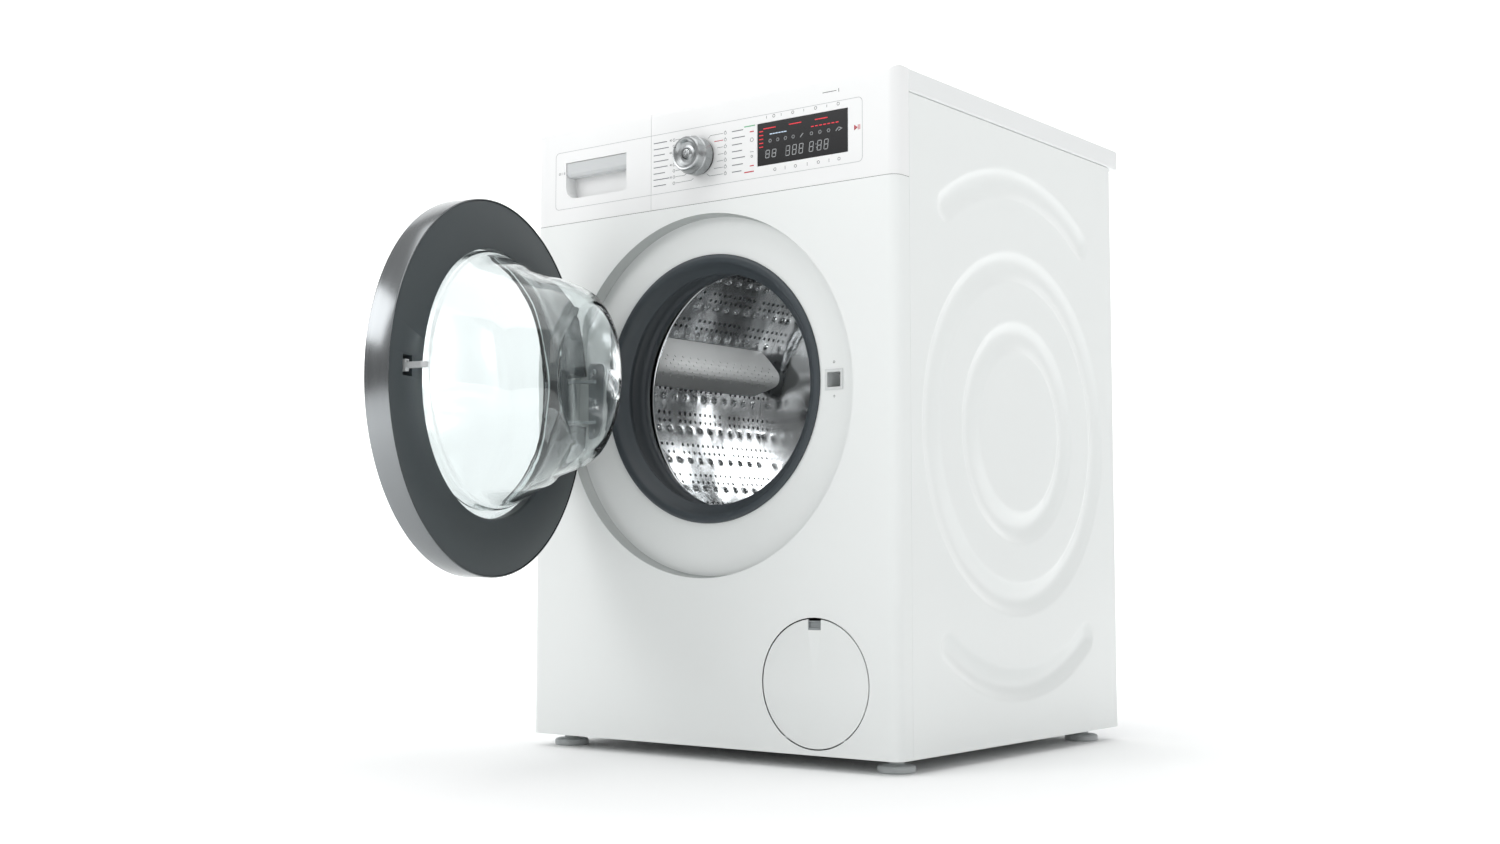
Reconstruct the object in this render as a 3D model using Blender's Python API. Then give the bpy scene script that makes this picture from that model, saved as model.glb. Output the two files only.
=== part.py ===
"""Front load washing machine, 848 mm tall and 598 mm wide, with its door open.

All sizes are in metres. The design is written in the cabinet's own frame: x runs across the front
from left to right, y runs from the front panel (y = 0) to the back, and z is up from the floor.
An empty at the end shifts that frame, so that the origin lies on the floor under the middle of the
machine's box with the door standing open.
"""
import math

import bmesh
import bpy
from mathutils import Matrix, Vector

# Casing
WIDTH = 0.598
HEIGHT = 0.848
DEPTH = 0.567                  # front panel to the back of the side panels
SHEET = 0.001                  # steel sheet
CORNER_R = 0.014               # upright front corners
LIFT = 0.0175                  # floor to the underside of the casing
FASCIA_H = 0.134
FASCIA_D = 0.0286              # how far the fascia and front panel wrap round the sides
FASCIA_WALL = 0.0025
TOP_EDGE_R = 0.010
WORKTOP_T = 0.0284
OVERHANG = 0.027               # worktop past the back of the casing
REVEAL = 0.0015                # dark gap under the worktop
TRAY_H = 0.030
GAP = 0.0003                   # between pieces that touch
SEAT = 0.0008                  # round a piece that sits in a hole
PIN_GAP = 0.0003               # round a pin that turns in a bore

# Door opening and door
DISH_R = 0.235
DISH_Z = 0.4645
DISH_DEPTH = 0.018
DOOR_R = 0.2335
DOOR_T = 0.034
DOOR_SEAT = 0.012              # plane of the door's inner face when shut
PORT_R = 0.1635                # hole in the door's inner ring
HINGE_X = -0.2262
HINGE_Y = -0.010
HINGE_PIN_R = 0.003
HINGE_HALF = 0.0305            # half height of the hinge
REST_ANGLE = math.radians(75.0)
LOCK_X = 0.195
LOCK_SLOT = (0.021, 0.020)

# Drum and tub, 10 mm above the middle of the door
AXIS_Z = 0.474
DRUM_R = 0.240
DRUM_FRONT = 0.0975
DRUM_DEPTH = 0.342
DRUM_MOUTH_R = 0.1655
DRUM_SHEET = 0.0012
TUB_WALL = 0.003
TUB_CLEAR = 0.014              # drum to tub, all round
SHAFT_R = 0.0125
BEARING_R = 0.0312
PULLEY_R = 0.140
MOTOR_PULLEY_R = 0.011
MOTOR_AT = (0.030, 0.150)
MOTOR_R = 0.050
MOTOR_LEN = 0.150
PADDLES = 3
PADDLE_H = 0.052
PADDLE_ANGLE = 164.0

# Fascia fittings
DRAWER_SEAM = -0.087
DRAWER_LEN = 0.305
GRIP = (-0.242, -0.131, HEIGHT - 0.100, HEIGHT - 0.049)
GRIP_DEPTH = 0.020
KNOB_AT = (-0.0035, HEIGHT - 0.0735)
KNOB_R = 0.025
KNOB_FACE_R = 0.022
KNOB_OUT = 0.0305
BUTTON_R = 0.006
DISPLAY = (0.0905, 0.229, HEIGHT - 0.0983, HEIGHT - 0.044)

# Service flap, pump, feet
FLAP_AT = (0.177, 0.1034)
FLAP_R = 0.0783
FLAP_AXIS_DROP = FLAP_R - 0.0123
FLAP_CHORD = math.sqrt(FLAP_R ** 2 - FLAP_AXIS_DROP ** 2)     # half the flap's width along its pins
FLAP_AXIS_Y = 0.0009
FLAP_GAP = 0.0015               # round the flap, so that its edge clears the sheet as it tips
FLAP_NOTCH = (0.019, 0.010)
FILTER_R = 0.029
FOOT_R = 0.023
FOOT_H = 0.011
FOOT_STEM_R = 0.005
FOOT_FRONT_Y = 0.045
FOOT_INSET = 0.034
FOOT_BACK_INSET = 0.045

GASKET_HOLE_R = 0.168
FLAP_BOSS_X = FLAP_CHORD + 0.0054
FLAP_BOSS = (0.0065, 0.0035, 0.0035)   # along the pin, behind the sheet, half its height
FLAP_PIN_R = 0.0008
FLAP_PIN_X = FLAP_CHORD + 0.0094
REAR_HOLE = (-0.17, 0.17, 0.25, 0.62)
VALVE_AT = (0.230, HEIGHT - 0.073)
VALVE_R = 0.0132
DRAIN_AT = (-0.230, HEIGHT - 0.108)
DRAIN_R = 0.012
GLAND_AT = (0.120, HEIGHT - 0.078)
GLAND_R = 0.009

HALF = WIDTH / 2
INNER = HALF - SHEET
BACK = DEPTH + OVERHANG
SEAM_Z = HEIGHT - FASCIA_H
TOP_Z = HEIGHT - WORKTOP_T
SIDE_TOP = TOP_Z - REVEAL
DISH_FLOOR = DISH_DEPTH
DRUM_BACK = DRUM_FRONT + DRUM_DEPTH
TUB_R = DRUM_R + DRUM_SHEET + TUB_CLEAR
TUB_OUT = TUB_R + TUB_WALL
TUB_FRONT = DRUM_FRONT - 0.0117
TUB_BACK = DRUM_BACK + 0.018
FINE = 40
MEDIUM = 28
COARSE = 16

for old in list(bpy.data.objects):
    bpy.data.objects.remove(old)


def srgb(hexa):
    """A hex colour as Blender's linear red, green, blue, alpha."""
    channels = [int(hexa[i:i + 2], 16) / 255 for i in (0, 2, 4)]
    return [c / 12.92 if c <= 0.04045 else ((c + 0.055) / 1.055) ** 2.4 for c in channels] + [1.0]


def material(name, hexa, rough, metal=0.0, alpha=1.0):
    mat = bpy.data.materials.new(name)
    mat.use_nodes = True
    shader = mat.node_tree.nodes["Principled BSDF"]
    shader.inputs["Base Color"].default_value = srgb(hexa)
    shader.inputs["Roughness"].default_value = rough
    shader.inputs["Metallic"].default_value = metal
    shader.inputs["Alpha"].default_value = alpha
    return mat


FINISHES = {
    "enamel": ("E9ECEB", 0.35, 0.0, 1.0),
    "fascia_abs": ("F1F2F2", 0.40, 0.0, 1.0),
    "display": ("15171A", 0.10, 0.0, 1.0),
    "silver": ("B4B7B8", 0.25, 1.0, 1.0),
    "dark_ring": ("3A4144", 0.45, 0.0, 1.0),
    "glass": ("F4F8F8", 0.05, 0.0, 0.35),
    "rubber": ("454D52", 0.70, 0.0, 1.0),
    "stainless": ("C9CBCB", 0.25, 1.0, 1.0),
    "grey_plastic": ("9DA1A2", 0.50, 0.0, 1.0),
    "white_plastic": ("E4E6E6", 0.45, 0.0, 1.0),
    "black_plastic": ("1C1E20", 0.50, 0.0, 1.0),
    "galvanised": ("9FA3A5", 0.45, 1.0, 1.0),
    "concrete": ("8E8C87", 0.90, 0.0, 1.0),
    "aluminium": ("A9ACAD", 0.40, 1.0, 1.0),
    "circuit_board": ("2F5B3C", 0.50, 0.0, 1.0),
}


def node(name, bm, finish, pivot=(0.0, 0.0, 0.0)):
    """One closed solid as an object of its own, with its origin on its joint's axis."""
    bmesh.ops.remove_doubles(bm, verts=bm.verts, dist=1e-6)
    bmesh.ops.recalc_face_normals(bm, faces=bm.faces)
    bmesh.ops.translate(bm, verts=bm.verts, vec=-Vector(pivot))
    mesh = bpy.data.meshes.new(name)
    bm.to_mesh(mesh)
    bm.free()
    mesh.shade_smooth()
    mesh.set_sharp_from_angle(angle=math.radians(35))
    colour, rough, metal, alpha = FINISHES[finish]
    mesh.materials.append(material(name, colour, rough, metal, alpha))
    piece = bpy.data.objects.new(name, mesh)
    piece.location = pivot
    bpy.context.collection.objects.link(piece)
    return piece


def boolean(piece, tool_mesh, operation):
    """Cut, join or keep the overlap with a hidden tool solid, which follows its piece."""
    bmesh.ops.remove_doubles(tool_mesh, verts=tool_mesh.verts, dist=1e-6)
    bmesh.ops.recalc_face_normals(tool_mesh, faces=tool_mesh.faces)
    bmesh.ops.translate(tool_mesh, verts=tool_mesh.verts, vec=-piece.location)
    mesh = bpy.data.meshes.new(piece.name + "_tool")
    tool_mesh.to_mesh(mesh)
    tool_mesh.free()
    tool = bpy.data.objects.new(piece.name + "_tool", mesh)
    tool.hide_render = True
    tool.display_type = "WIRE"
    tool.parent = piece
    bpy.context.collection.objects.link(tool)
    step = piece.modifiers.new(operation.title(), "BOOLEAN")
    step.operation = operation
    step.solver = "EXACT"
    step.object = tool
    return piece


def cut(piece, *tools):
    for tool in tools:
        boolean(piece, tool, "DIFFERENCE")
    return piece


def join(piece, *tools):
    for tool in tools:
        boolean(piece, tool, "UNION")
    return piece


def block(x0, x1, y0, y1, z0, z1):
    bm = bmesh.new()
    bmesh.ops.create_cube(bm, size=1.0)
    size = Matrix.Diagonal((x1 - x0, y1 - y0, z1 - z0, 1.0))
    middle = Matrix.Translation(((x0 + x1) / 2, (y0 + y1) / 2, (z0 + z1) / 2))
    bmesh.ops.transform(bm, matrix=middle @ size, verts=bm.verts)
    return bm


def turned(profile, x=0.0, z=0.0, sides=FINE, start=0.0):
    """A closed outline of (radius, y) points turned about the line through x, z along y."""
    bm = bmesh.new()
    rings = []
    for radius, y in profile:
        if radius < 1e-7:
            rings.append([bm.verts.new((x, y, z))] * sides)
            continue
        turn = [start + math.tau * i / sides for i in range(sides)]
        rings.append([bm.verts.new((x + radius * math.cos(a), y, z + radius * math.sin(a))) for a in turn])
    for ring, after in zip(rings, rings[1:] + rings[:1]):
        for i in range(sides):
            j = (i + 1) % sides
            corners = []
            for vert in (ring[i], ring[j], after[j], after[i]):
                if vert not in corners:
                    corners.append(vert)
            if len(corners) > 2:
                bm.faces.new(corners)
    return bm


def disc(radius, y0, y1, x=0.0, z=0.0, sides=FINE):
    return turned([(0.0, y0), (radius, y0), (radius, y1), (0.0, y1)], x, z, sides)


def tube(outer, inner, y0, y1, x=0.0, z=0.0, sides=FINE):
    return turned([(inner, y0), (outer, y0), (outer, y1), (inner, y1)], x, z, sides)


def upright(bm, x, y, z0):
    """Stand a shape turned about the y axis on end, so that its y becomes height above z0."""
    bmesh.ops.rotate(bm, verts=bm.verts, cent=(0, 0, 0), matrix=Matrix.Rotation(math.radians(90), 3, "X"))
    bmesh.ops.translate(bm, verts=bm.verts, vec=(x, y, z0))
    return bm


def prism(outline, low, high, along):
    """A flat outline pushed along x, y or z; its two numbers are the other two axes in order."""
    bm = bmesh.new()
    place = {"x": lambda a, b, c: (c, a, b), "y": lambda a, b, c: (a, c, b), "z": lambda a, b, c: (a, b, c)}[along]
    ends = [[bm.verts.new(place(a, b, level)) for a, b in outline] for level in (low, high)]
    bm.faces.new(ends[0])
    bm.faces.new(ends[1])
    count = len(outline)
    for i in range(count):
        j = (i + 1) % count
        bm.faces.new((ends[0][i], ends[0][j], ends[1][j], ends[1][i]))
    return bm


def swept(path, radius, sides=8):
    """A round bar of one radius along a list of points, with flat ends."""
    bm = bmesh.new()
    points = [Vector(p) for p in path]
    rings = []
    side = None
    for i, point in enumerate(points):
        ahead = (points[min(i + 1, len(points) - 1)] - points[max(i - 1, 0)]).normalized()
        if side is None:
            side = ahead.orthogonal().normalized()
        side = (side - ahead * side.dot(ahead)).normalized()
        up = ahead.cross(side)
        angles = [math.tau * k / sides for k in range(sides)]
        rings.append([bm.verts.new(point + radius * (math.cos(a) * side + math.sin(a) * up)) for a in angles])
    for ring, after in zip(rings, rings[1:]):
        for k in range(sides):
            m = (k + 1) % sides
            bm.faces.new((ring[k], ring[m], after[m], after[k]))
    bm.faces.new(rings[0])
    bm.faces.new(rings[-1])
    return bm


def arc(cx, cy, radius, first, last, steps):
    """Points on an arc, both ends included, in degrees."""
    turn = [math.radians(first + (last - first) * i / steps) for i in range(steps + 1)]
    return [(cx + radius * math.cos(a), cy + radius * math.sin(a)) for a in turn]


# ---------------------------------------------------------------- casing

def front_wrap(x0, x1, y1, inset=0.0, left_round=True, right_round=True):
    """Outline seen from above of a front that wraps round the casing's upright corners."""
    radius = CORNER_R - inset
    steps = 5
    front = inset
    if left_round:
        left = [(x0, y1)] + arc(x0 + radius, front + radius, radius, 180, 270, steps)
    else:
        left = [(x0, y1), (x0, front)]
    if right_round:
        right = arc(x1 - radius, front + radius, radius, 270, 360, steps) + [(x1, y1)]
    else:
        right = [(x1, front), (x1, y1)]
    return left + right


def side_panel(name, side):
    """Flat steel side with a flange along its top, from which the tub hangs."""
    outer, flange, thick = side * HALF, side * (HALF - 0.018), side * (HALF - SHEET)
    outline = [(outer, LIFT), (outer, SIDE_TOP), (flange, SIDE_TOP), (flange, SIDE_TOP - SHEET),
               (thick, SIDE_TOP - SHEET), (thick, LIFT)]
    return node(name, prism(outline, FASCIA_D + GAP, DEPTH, "y"), "enamel")


def front_panel():
    """Steel front with the pressed dish for the door, the porthole, the lock slot and the flap hole."""
    low, high = LIFT, SEAM_Z - GAP
    piece = node("front_panel", prism(front_wrap(-HALF, HALF, FASCIA_D), low, high, "z"), "enamel")
    inside = front_wrap(-INNER, INNER, FASCIA_D + 0.01, SHEET)
    cut(piece, prism(inside, low - 0.01, high + 0.01, "z"))
    join(piece, disc(DISH_R + SHEET, SHEET / 2, DISH_FLOOR + SHEET, 0.0, DISH_Z))
    cut(piece, disc(DISH_R, -0.01, DISH_FLOOR, 0.0, DISH_Z))
    cut(piece, disc(GASKET_HOLE_R, 0.0, 0.05, 0.0, AXIS_Z))
    wide, tall = LOCK_SLOT
    cut(piece, block(LOCK_X - wide / 2, LOCK_X + wide / 2, 0.01, 0.03, AXIS_Z - tall / 2, AXIS_Z + tall / 2))
    flap_x, flap_z = FLAP_AT
    cut(piece, disc(FLAP_R + FLAP_GAP, -0.01, 0.01, flap_x, flap_z))
    axis_z = flap_z - FLAP_AXIS_DROP
    long, deep, half = FLAP_BOSS
    for side in (-1, 1):
        boss = sorted((flap_x + side * FLAP_BOSS_X, flap_x + side * (FLAP_BOSS_X + long)))
        join(piece, block(*boss, SHEET / 2, SHEET + deep, axis_z - half, axis_z + half))
        bore = ((flap_x + side * (FLAP_CHORD - 0.0025), FLAP_AXIS_Y, axis_z),
                (flap_x + side * (FLAP_PIN_X + 0.0005), FLAP_AXIS_Y, axis_z))
        cut(piece, swept(bore, FLAP_PIN_R + PIN_GAP, 12))
    return piece


def rear_panel():
    """Steel back with holes for the drain, the mains lead and the water valve, and a service hole."""
    bm = block(-INNER + GAP, INNER - GAP, DEPTH - SHEET, DEPTH, LIFT, SIDE_TOP - SHEET - GAP)
    piece = node("rear_panel", bm, "galvanised")
    x0, x1, z0, z1 = REAR_HOLE
    cut(piece, block(x0, x1, DEPTH - 0.01, DEPTH + 0.01, z0, z1))
    for (x, z), radius in ((VALVE_AT, VALVE_R), (DRAIN_AT, DRAIN_R), (GLAND_AT, GLAND_R)):
        cut(piece, disc(radius + SEAT, DEPTH - 0.01, DEPTH + 0.01, x, z, COARSE))
    return piece


def rear_cover():
    x0, x1, z0, z1 = (value + margin for value, margin in zip(REAR_HOLE, (-0.02, 0.02, -0.02, 0.02)))
    return node("rear_cover", block(x0, x1, DEPTH + GAP, DEPTH + GAP + SHEET, z0, z1), "galvanised")


def base_tray():
    """Moulded floor of the casing, with a hole for each foot's screw."""
    x, y0, y1 = INNER - GAP, FASCIA_D + GAP, DEPTH - SHEET - GAP
    piece = node("base_tray", block(-x, x, y0, y1, LIFT, LIFT + TRAY_H), "white_plastic")
    wall = 0.003
    cut(piece, block(-x + wall, x - wall, y0 + wall, y1 - wall, LIFT + wall, LIFT + TRAY_H + 0.01))
    for _, foot_x, foot_y in feet_places():
        cut(piece, upright(disc(FOOT_STEM_R + SEAT, -0.05, 0.05, sides=16), foot_x, foot_y, LIFT))
    return piece


def worktop():
    bm = block(-HALF, HALF, FASCIA_D + GAP, BACK, TOP_Z, HEIGHT)
    return node("worktop", bm, "enamel")


def feet_places():
    x = HALF - FOOT_INSET
    rows = (("front", FOOT_FRONT_Y), ("back", DEPTH - FOOT_BACK_INSET))
    return [(f"{row}_{side}_foot", sign * x, y) for row, y in rows for side, sign in (("left", -1), ("right", 1))]


def foot(name, x, y):
    """Levelling foot: a broad disc on a screw that turns in the base."""
    outline = [(0.0, 0.0), (FOOT_R, 0.0), (FOOT_R, FOOT_H * 0.75), (FOOT_R * 0.85, FOOT_H),
               (FOOT_STEM_R, FOOT_H), (FOOT_STEM_R, LIFT + TRAY_H), (0.0, LIFT + TRAY_H)]
    bm = turned(outline, sides=COARSE)
    return node(name, upright(bm, x, y, 0.0), "black_plastic", (x, y, 0.0))


# ---------------------------------------------------------------- fascia and drawer

def fascia_shell(name, x0, x1, left_round, right_round):
    """Hollow moulding, open at the back, with a rounded top front edge."""
    z0, z1 = SEAM_Z, HEIGHT
    piece = node(name, prism(front_wrap(x0, x1, FASCIA_D, 0.0, left_round, right_round), z0, z1, "z"), "fascia_abs")
    edge = arc(TOP_EDGE_R, z1 - TOP_EDGE_R, TOP_EDGE_R, 180, 90, 5) + [(FASCIA_D, z1), (FASCIA_D, z0), (0.0, z0)]
    boolean(piece, prism(edge, x0 - 0.01, x1 + 0.01, "x"), "INTERSECT")
    wall = FASCIA_WALL
    inner = front_wrap(x0 + wall, x1 - wall, FASCIA_D + 0.01, wall, left_round, right_round)
    return cut(piece, prism(inner, z0 + wall, z1 - TOP_EDGE_R, "z"),
               block(x0 + wall + 0.01, x1 - wall - 0.01, 0.012, FASCIA_D + 0.01, z0 + wall, z1 - wall))


def control_panel():
    piece = fascia_shell("control_panel", DRAWER_SEAM + GAP, HALF, False, True)
    x0, x1, z0, z1 = DISPLAY
    cut(piece, block(x0 - GAP, x1 + GAP, -0.01, 0.01, z0 - GAP, z1 + GAP))
    return cut(piece, disc(0.0080, -0.01, 0.01, *KNOB_AT, sides=COARSE))


def display_window():
    x0, x1, z0, z1 = DISPLAY
    return node("display_window", block(x0, x1, 0.0, FASCIA_WALL, z0, z1), "display")


def control_board():
    x0, x1, z0, z1 = DISPLAY
    bm = block(x0 - 0.035, x1 + 0.02, 0.0135, 0.0155, z0 - 0.012, z1 + 0.012)
    return node("control_board", bm, "circuit_board")


def selector_knob():
    """Turned knob with a hollow shaft, through which the power button works."""
    bore, shaft = 0.0036, 0.0068
    outline = [(bore, -0.024), (BUTTON_R + GAP, -0.024), (BUTTON_R + GAP, -0.0285), (KNOB_FACE_R - 0.004, -0.0290),
               (KNOB_FACE_R, -KNOB_OUT), (KNOB_R, -0.024), (KNOB_R - 0.001, -0.004), (KNOB_R - 0.0015, -GAP),
               (shaft, -GAP), (shaft, 0.010), (bore, 0.010)]
    x, z = KNOB_AT
    return node("selector_knob", turned(outline, x, z, 36), "silver", (x, 0.0, z))


def power_button():
    x, z = KNOB_AT
    outline = [(0.0, -0.0292), (BUTTON_R, -0.0292), (BUTTON_R, -0.0260), (0.0030, -0.0260), (0.0030, 0.0115),
               (0.0, 0.0115)]
    return node("power_button", turned(outline, x, z, 24), "silver", (x, 0.0, z))


def drawer_front():
    piece = fascia_shell("drawer_front", -HALF, DRAWER_SEAM - GAP, True, False)
    x0, x1, z0, z1 = GRIP
    wall = 0.002
    join(piece, block(x0 - wall, x1 + wall, FASCIA_WALL / 2, GRIP_DEPTH + wall, z0 - wall, z1 + wall))
    return cut(piece, block(x0, x1, -0.01, GRIP_DEPTH, z0, z1))


TRAY_X = (-0.272, -0.100)
TRAY_Z = (HEIGHT - 0.110, HEIGHT - 0.048)


def drawer_tray():
    """Three open compartments: main wash, softener and prewash."""
    y0, y1 = GRIP_DEPTH + 0.002 + GAP, GRIP_DEPTH + DRAWER_LEN
    piece = node("drawer_tray", block(*TRAY_X, y0, y1, *TRAY_Z), "white_plastic")
    wall, step = 0.002, (TRAY_X[1] - TRAY_X[0]) / 3
    for i in range(3):
        x0 = TRAY_X[0] + i * step + wall
        cut(piece, block(x0, x0 + step - 1.5 * wall, y0 + 0.012, y1 - wall, TRAY_Z[0] + wall, TRAY_Z[1] + 0.01))
    return piece


def siphon_cap():
    middle, step = sum(TRAY_X) / 2, (TRAY_X[1] - TRAY_X[0]) / 3
    y0 = GRIP_DEPTH + DRAWER_LEN - 0.08
    bm = block(middle - step / 2, middle + step / 2 - 0.002, y0, y0 + 0.07, TRAY_Z[1] + GAP, TRAY_Z[1] + 0.005)
    return node("siphon_cap", bm, "grey_plastic")


def dispenser_housing():
    """Box that the drawer slides in, open at the front, with its outlet underneath."""
    wall, room = 0.002, 0.003
    x0, x1 = TRAY_X[0] - room, TRAY_X[1] + room
    y0, y1 = FASCIA_D + 0.002, GRIP_DEPTH + DRAWER_LEN + 0.012
    z0, z1 = TRAY_Z[0] - room, TOP_Z - 0.005
    piece = node("dispenser_housing", block(x0 - wall, x1 + wall, y0, y1, z0 - wall, z1), "white_plastic")
    cut(piece, block(x0, x1, y0 - 0.01, y1 - wall, z0, z1 - wall))
    return cut(piece, upright(disc(0.011, -0.02, 0.02, sides=16), *OUTLET_AT, z0))


OUTLET_AT = (-0.200, 0.300)


def dispenser_hose():
    """Rubber bellows from the dispenser down to the tub."""
    top = TRAY_Z[0] - 0.005 - GAP
    low = AXIS_Z + math.sqrt(TUB_OUT ** 2 - (abs(OUTLET_AT[0]) - 0.017) ** 2) + 0.001
    ribs = 5
    outer = [(0.013 + 0.004 * (i % 2), low + (top - low) * i / (2 * ribs)) for i in range(2 * ribs + 1)]
    bm = turned(outer + [(0.011, top), (0.011, low)], sides=16)
    return node("dispenser_hose", upright(bm, *OUTLET_AT, 0.0), "rubber")


# ---------------------------------------------------------------- door

def door_pocket(room):
    """Space in the door's edge for the hinge."""
    return block(HINGE_X - 0.03, HINGE_X + 0.040, HINGE_Y - 0.0070, 0.03,
                 DISH_Z - HINGE_HALF - room, DISH_Z + HINGE_HALF + room)


def door_piece(name, bm, finish):
    return node(name, bm, finish, (HINGE_X, HINGE_Y, DISH_Z))


FRONT = DOOR_SEAT - DOOR_T
BAND = 0.0015
WINDOW_R = DOOR_R - 0.0385


def door_rim():
    outline = [(WINDOW_R, FRONT), (DOOR_R - 0.002, FRONT), (DOOR_R, FRONT + 0.002), (DOOR_R, DOOR_SEAT),
               (DOOR_R - BAND, DOOR_SEAT), (DOOR_R - BAND, FRONT + 0.0035), (WINDOW_R, FRONT + 0.0035)]
    piece = door_piece("door_rim", turned(outline, 0.0, DISH_Z), "silver")
    return cut(piece, door_pocket(0.004))


def door_inner_ring():
    outer = DOOR_R - BAND - GAP
    piece = door_piece("door_inner_ring", disc(outer, -0.002, DOOR_SEAT, 0.0, DISH_Z), "dark_ring")
    cut(piece, disc(PORT_R, -0.01, 0.03, 0.0, AXIS_Z))
    notch = block(LOCK_X - 0.009, LOCK_X + 0.009, -0.01, 0.03, AXIS_Z - 0.012, AXIS_Z + 0.012)
    return cut(piece, door_pocket(0.004), notch)


BOWL = [(0.1610, -0.0023), (0.1600, 0.0120), (0.1480, 0.0280), (0.1400, 0.0500), (0.1290, 0.0800), (0.1170, 0.1100),
        (0.1070, 0.1330), (0.0930, 0.1430)]
BOWL_DEPTH = 0.1460
GLASS = 0.004


def door_bowl():
    """Pressed glass bowl, 4 mm thick, that reaches through the gasket. Its flange sits in the door."""
    outer = [(0.180, -0.0023)] + BOWL + [(0.0, BOWL_DEPTH)]
    inner = [(0.0, BOWL_DEPTH - GLASS)] + [(r - GLASS * 0.9, y - GLASS * 0.7) for r, y in reversed(BOWL[1:])]
    outline = outer + inner + [(0.1565, -0.0023 - GLASS), (0.180, -0.0023 - GLASS)]
    return door_piece("door_bowl", turned(outline, 0.0, AXIS_Z), "glass")


def door_window():
    dome = [(0.0, -0.0400), (0.0800, -0.0385), (0.1400, -0.0345), (0.1800, -0.0275), (WINDOW_R - GAP, -0.0215)]
    back = [(r, y + 0.003) for r, y in reversed(dome)]
    return door_piece("door_window", turned(dome + back, 0.0, DISH_Z), "glass")


def door_hinge_leaf():
    """Knuckle between the hinge's two arms, let into the door's edge."""
    half = HINGE_HALF - 0.0045
    bm = block(HINGE_X - 0.0048, HINGE_X + 0.040 - GAP, HINGE_Y - 0.0048, HINGE_Y + 0.0048, DISH_Z - half, DISH_Z + half)
    piece = door_piece("door_hinge_leaf", bm, "galvanised")
    bore = upright(disc(HINGE_PIN_R + 0.0002, -0.1, 0.1, sides=24), HINGE_X, HINGE_Y, DISH_Z)
    return cut(piece, bore)


def hinge_bracket():
    """Plate on the floor of the dish, with two arms that reach forward to the pin."""
    plate_y = DISH_FLOOR - GAP
    bm = block(-0.2180, -0.1800, plate_y - 0.0022, plate_y, DISH_Z - 0.055, DISH_Z + 0.055)
    piece = node("hinge_bracket", bm, "galvanised")
    reach = plate_y - 0.001
    arm = [(HINGE_X - 0.0045, HINGE_Y - 0.0045), (HINGE_X + 0.0045, HINGE_Y - 0.0045), (HINGE_X + 0.036, reach),
           (HINGE_X + 0.012, reach), (HINGE_X - 0.0045, HINGE_Y + 0.0045)]
    for side in (-1, 1):
        low, high = sorted((DISH_Z + side * HINGE_HALF, DISH_Z + side * (HINGE_HALF - 0.004)))
        join(piece, prism(arm, low, high, "z"))
    return cut(piece, upright(disc(HINGE_PIN_R + 0.0002, -0.1, 0.1, sides=24), HINGE_X, HINGE_Y, DISH_Z))


def hinge_pin():
    half = HINGE_HALF + 0.001
    bm = upright(disc(HINGE_PIN_R, -half, half, sides=24), HINGE_X, HINGE_Y, DISH_Z)
    return node("hinge_pin", bm, "galvanised")


LATCH_Y = 0.002


def latch_hook():
    """Sprung hook on the door's free side. Its nose points away from the hinge."""
    x = LOCK_X
    outline = [(x - 0.0035, LATCH_Y - 0.003), (x + 0.0035, LATCH_Y - 0.003), (x + 0.0035, 0.0320),
               (x + 0.0060, 0.0320), (x + 0.0030, 0.0385), (x - 0.0035, 0.0385)]
    return node("latch_hook", prism(outline, AXIS_Z - 0.007, AXIS_Z + 0.007, "z"), "grey_plastic", (x, LATCH_Y, AXIS_Z))


def door_lock():
    """Lock behind the dish, with a slot for the hook."""
    wide, tall = LOCK_SLOT
    y0 = DISH_FLOOR + SHEET + GAP
    bm = block(LOCK_X - wide / 2 - 0.005, LOCK_X + wide / 2 + 0.009, y0, y0 + 0.030, AXIS_Z - 0.045, AXIS_Z + 0.045)
    piece = node("door_lock", bm, "black_plastic")
    return cut(piece, block(LOCK_X - wide / 2, LOCK_X + wide / 2, 0.0, y0 + 0.026,
                            AXIS_Z - tall / 2, AXIS_Z + tall / 2))


# ---------------------------------------------------------------- drum, tub and drive

def door_gasket():
    """Rubber bellows from the porthole to the tub, with the lip that the glass bowl presses on."""
    y, end = DISH_FLOOR, TUB_FRONT - GAP
    inside = [(0.1640, y - 0.0030), (0.1600, y + 0.0030), (0.1500, y + 0.0120), (0.1505, y + 0.0145),
              (0.1600, y + 0.0085), (0.1590, y + 0.0160), (0.1690, y + 0.0260), (0.1690, end - 0.0275),
              (0.1535, end - 0.0195), (0.1560, end - 0.0055), (0.1650, end)]
    outside = [(0.1700, end), (0.1600, end - 0.0080), (0.1580, end - 0.0165), (0.1730, end - 0.0250),
               (0.1730, y + 0.0240), (0.1630, y + 0.0150), (0.1665, y + 0.0010), (0.1665, y - GAP),
               (0.1745, y - GAP), (0.1745, y - 0.0030)]
    return node("door_gasket", turned(inside + outside, 0.0, AXIS_Z), "rubber")


def tub_front():
    y = TUB_FRONT
    outline = [(GASKET_HOLE_R - 0.002, y), (TUB_OUT + 0.004, y), (TUB_OUT + 0.004, y + 0.0245), (TUB_R, y + 0.0245),
               (TUB_R, y + TUB_WALL), (GASKET_HOLE_R - 0.002, y + TUB_WALL)]
    return node("tub_front", turned(outline, 0.0, AXIS_Z, MEDIUM), "grey_plastic")


HUB_OUT = 0.035
LUG_X = 0.028


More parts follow.
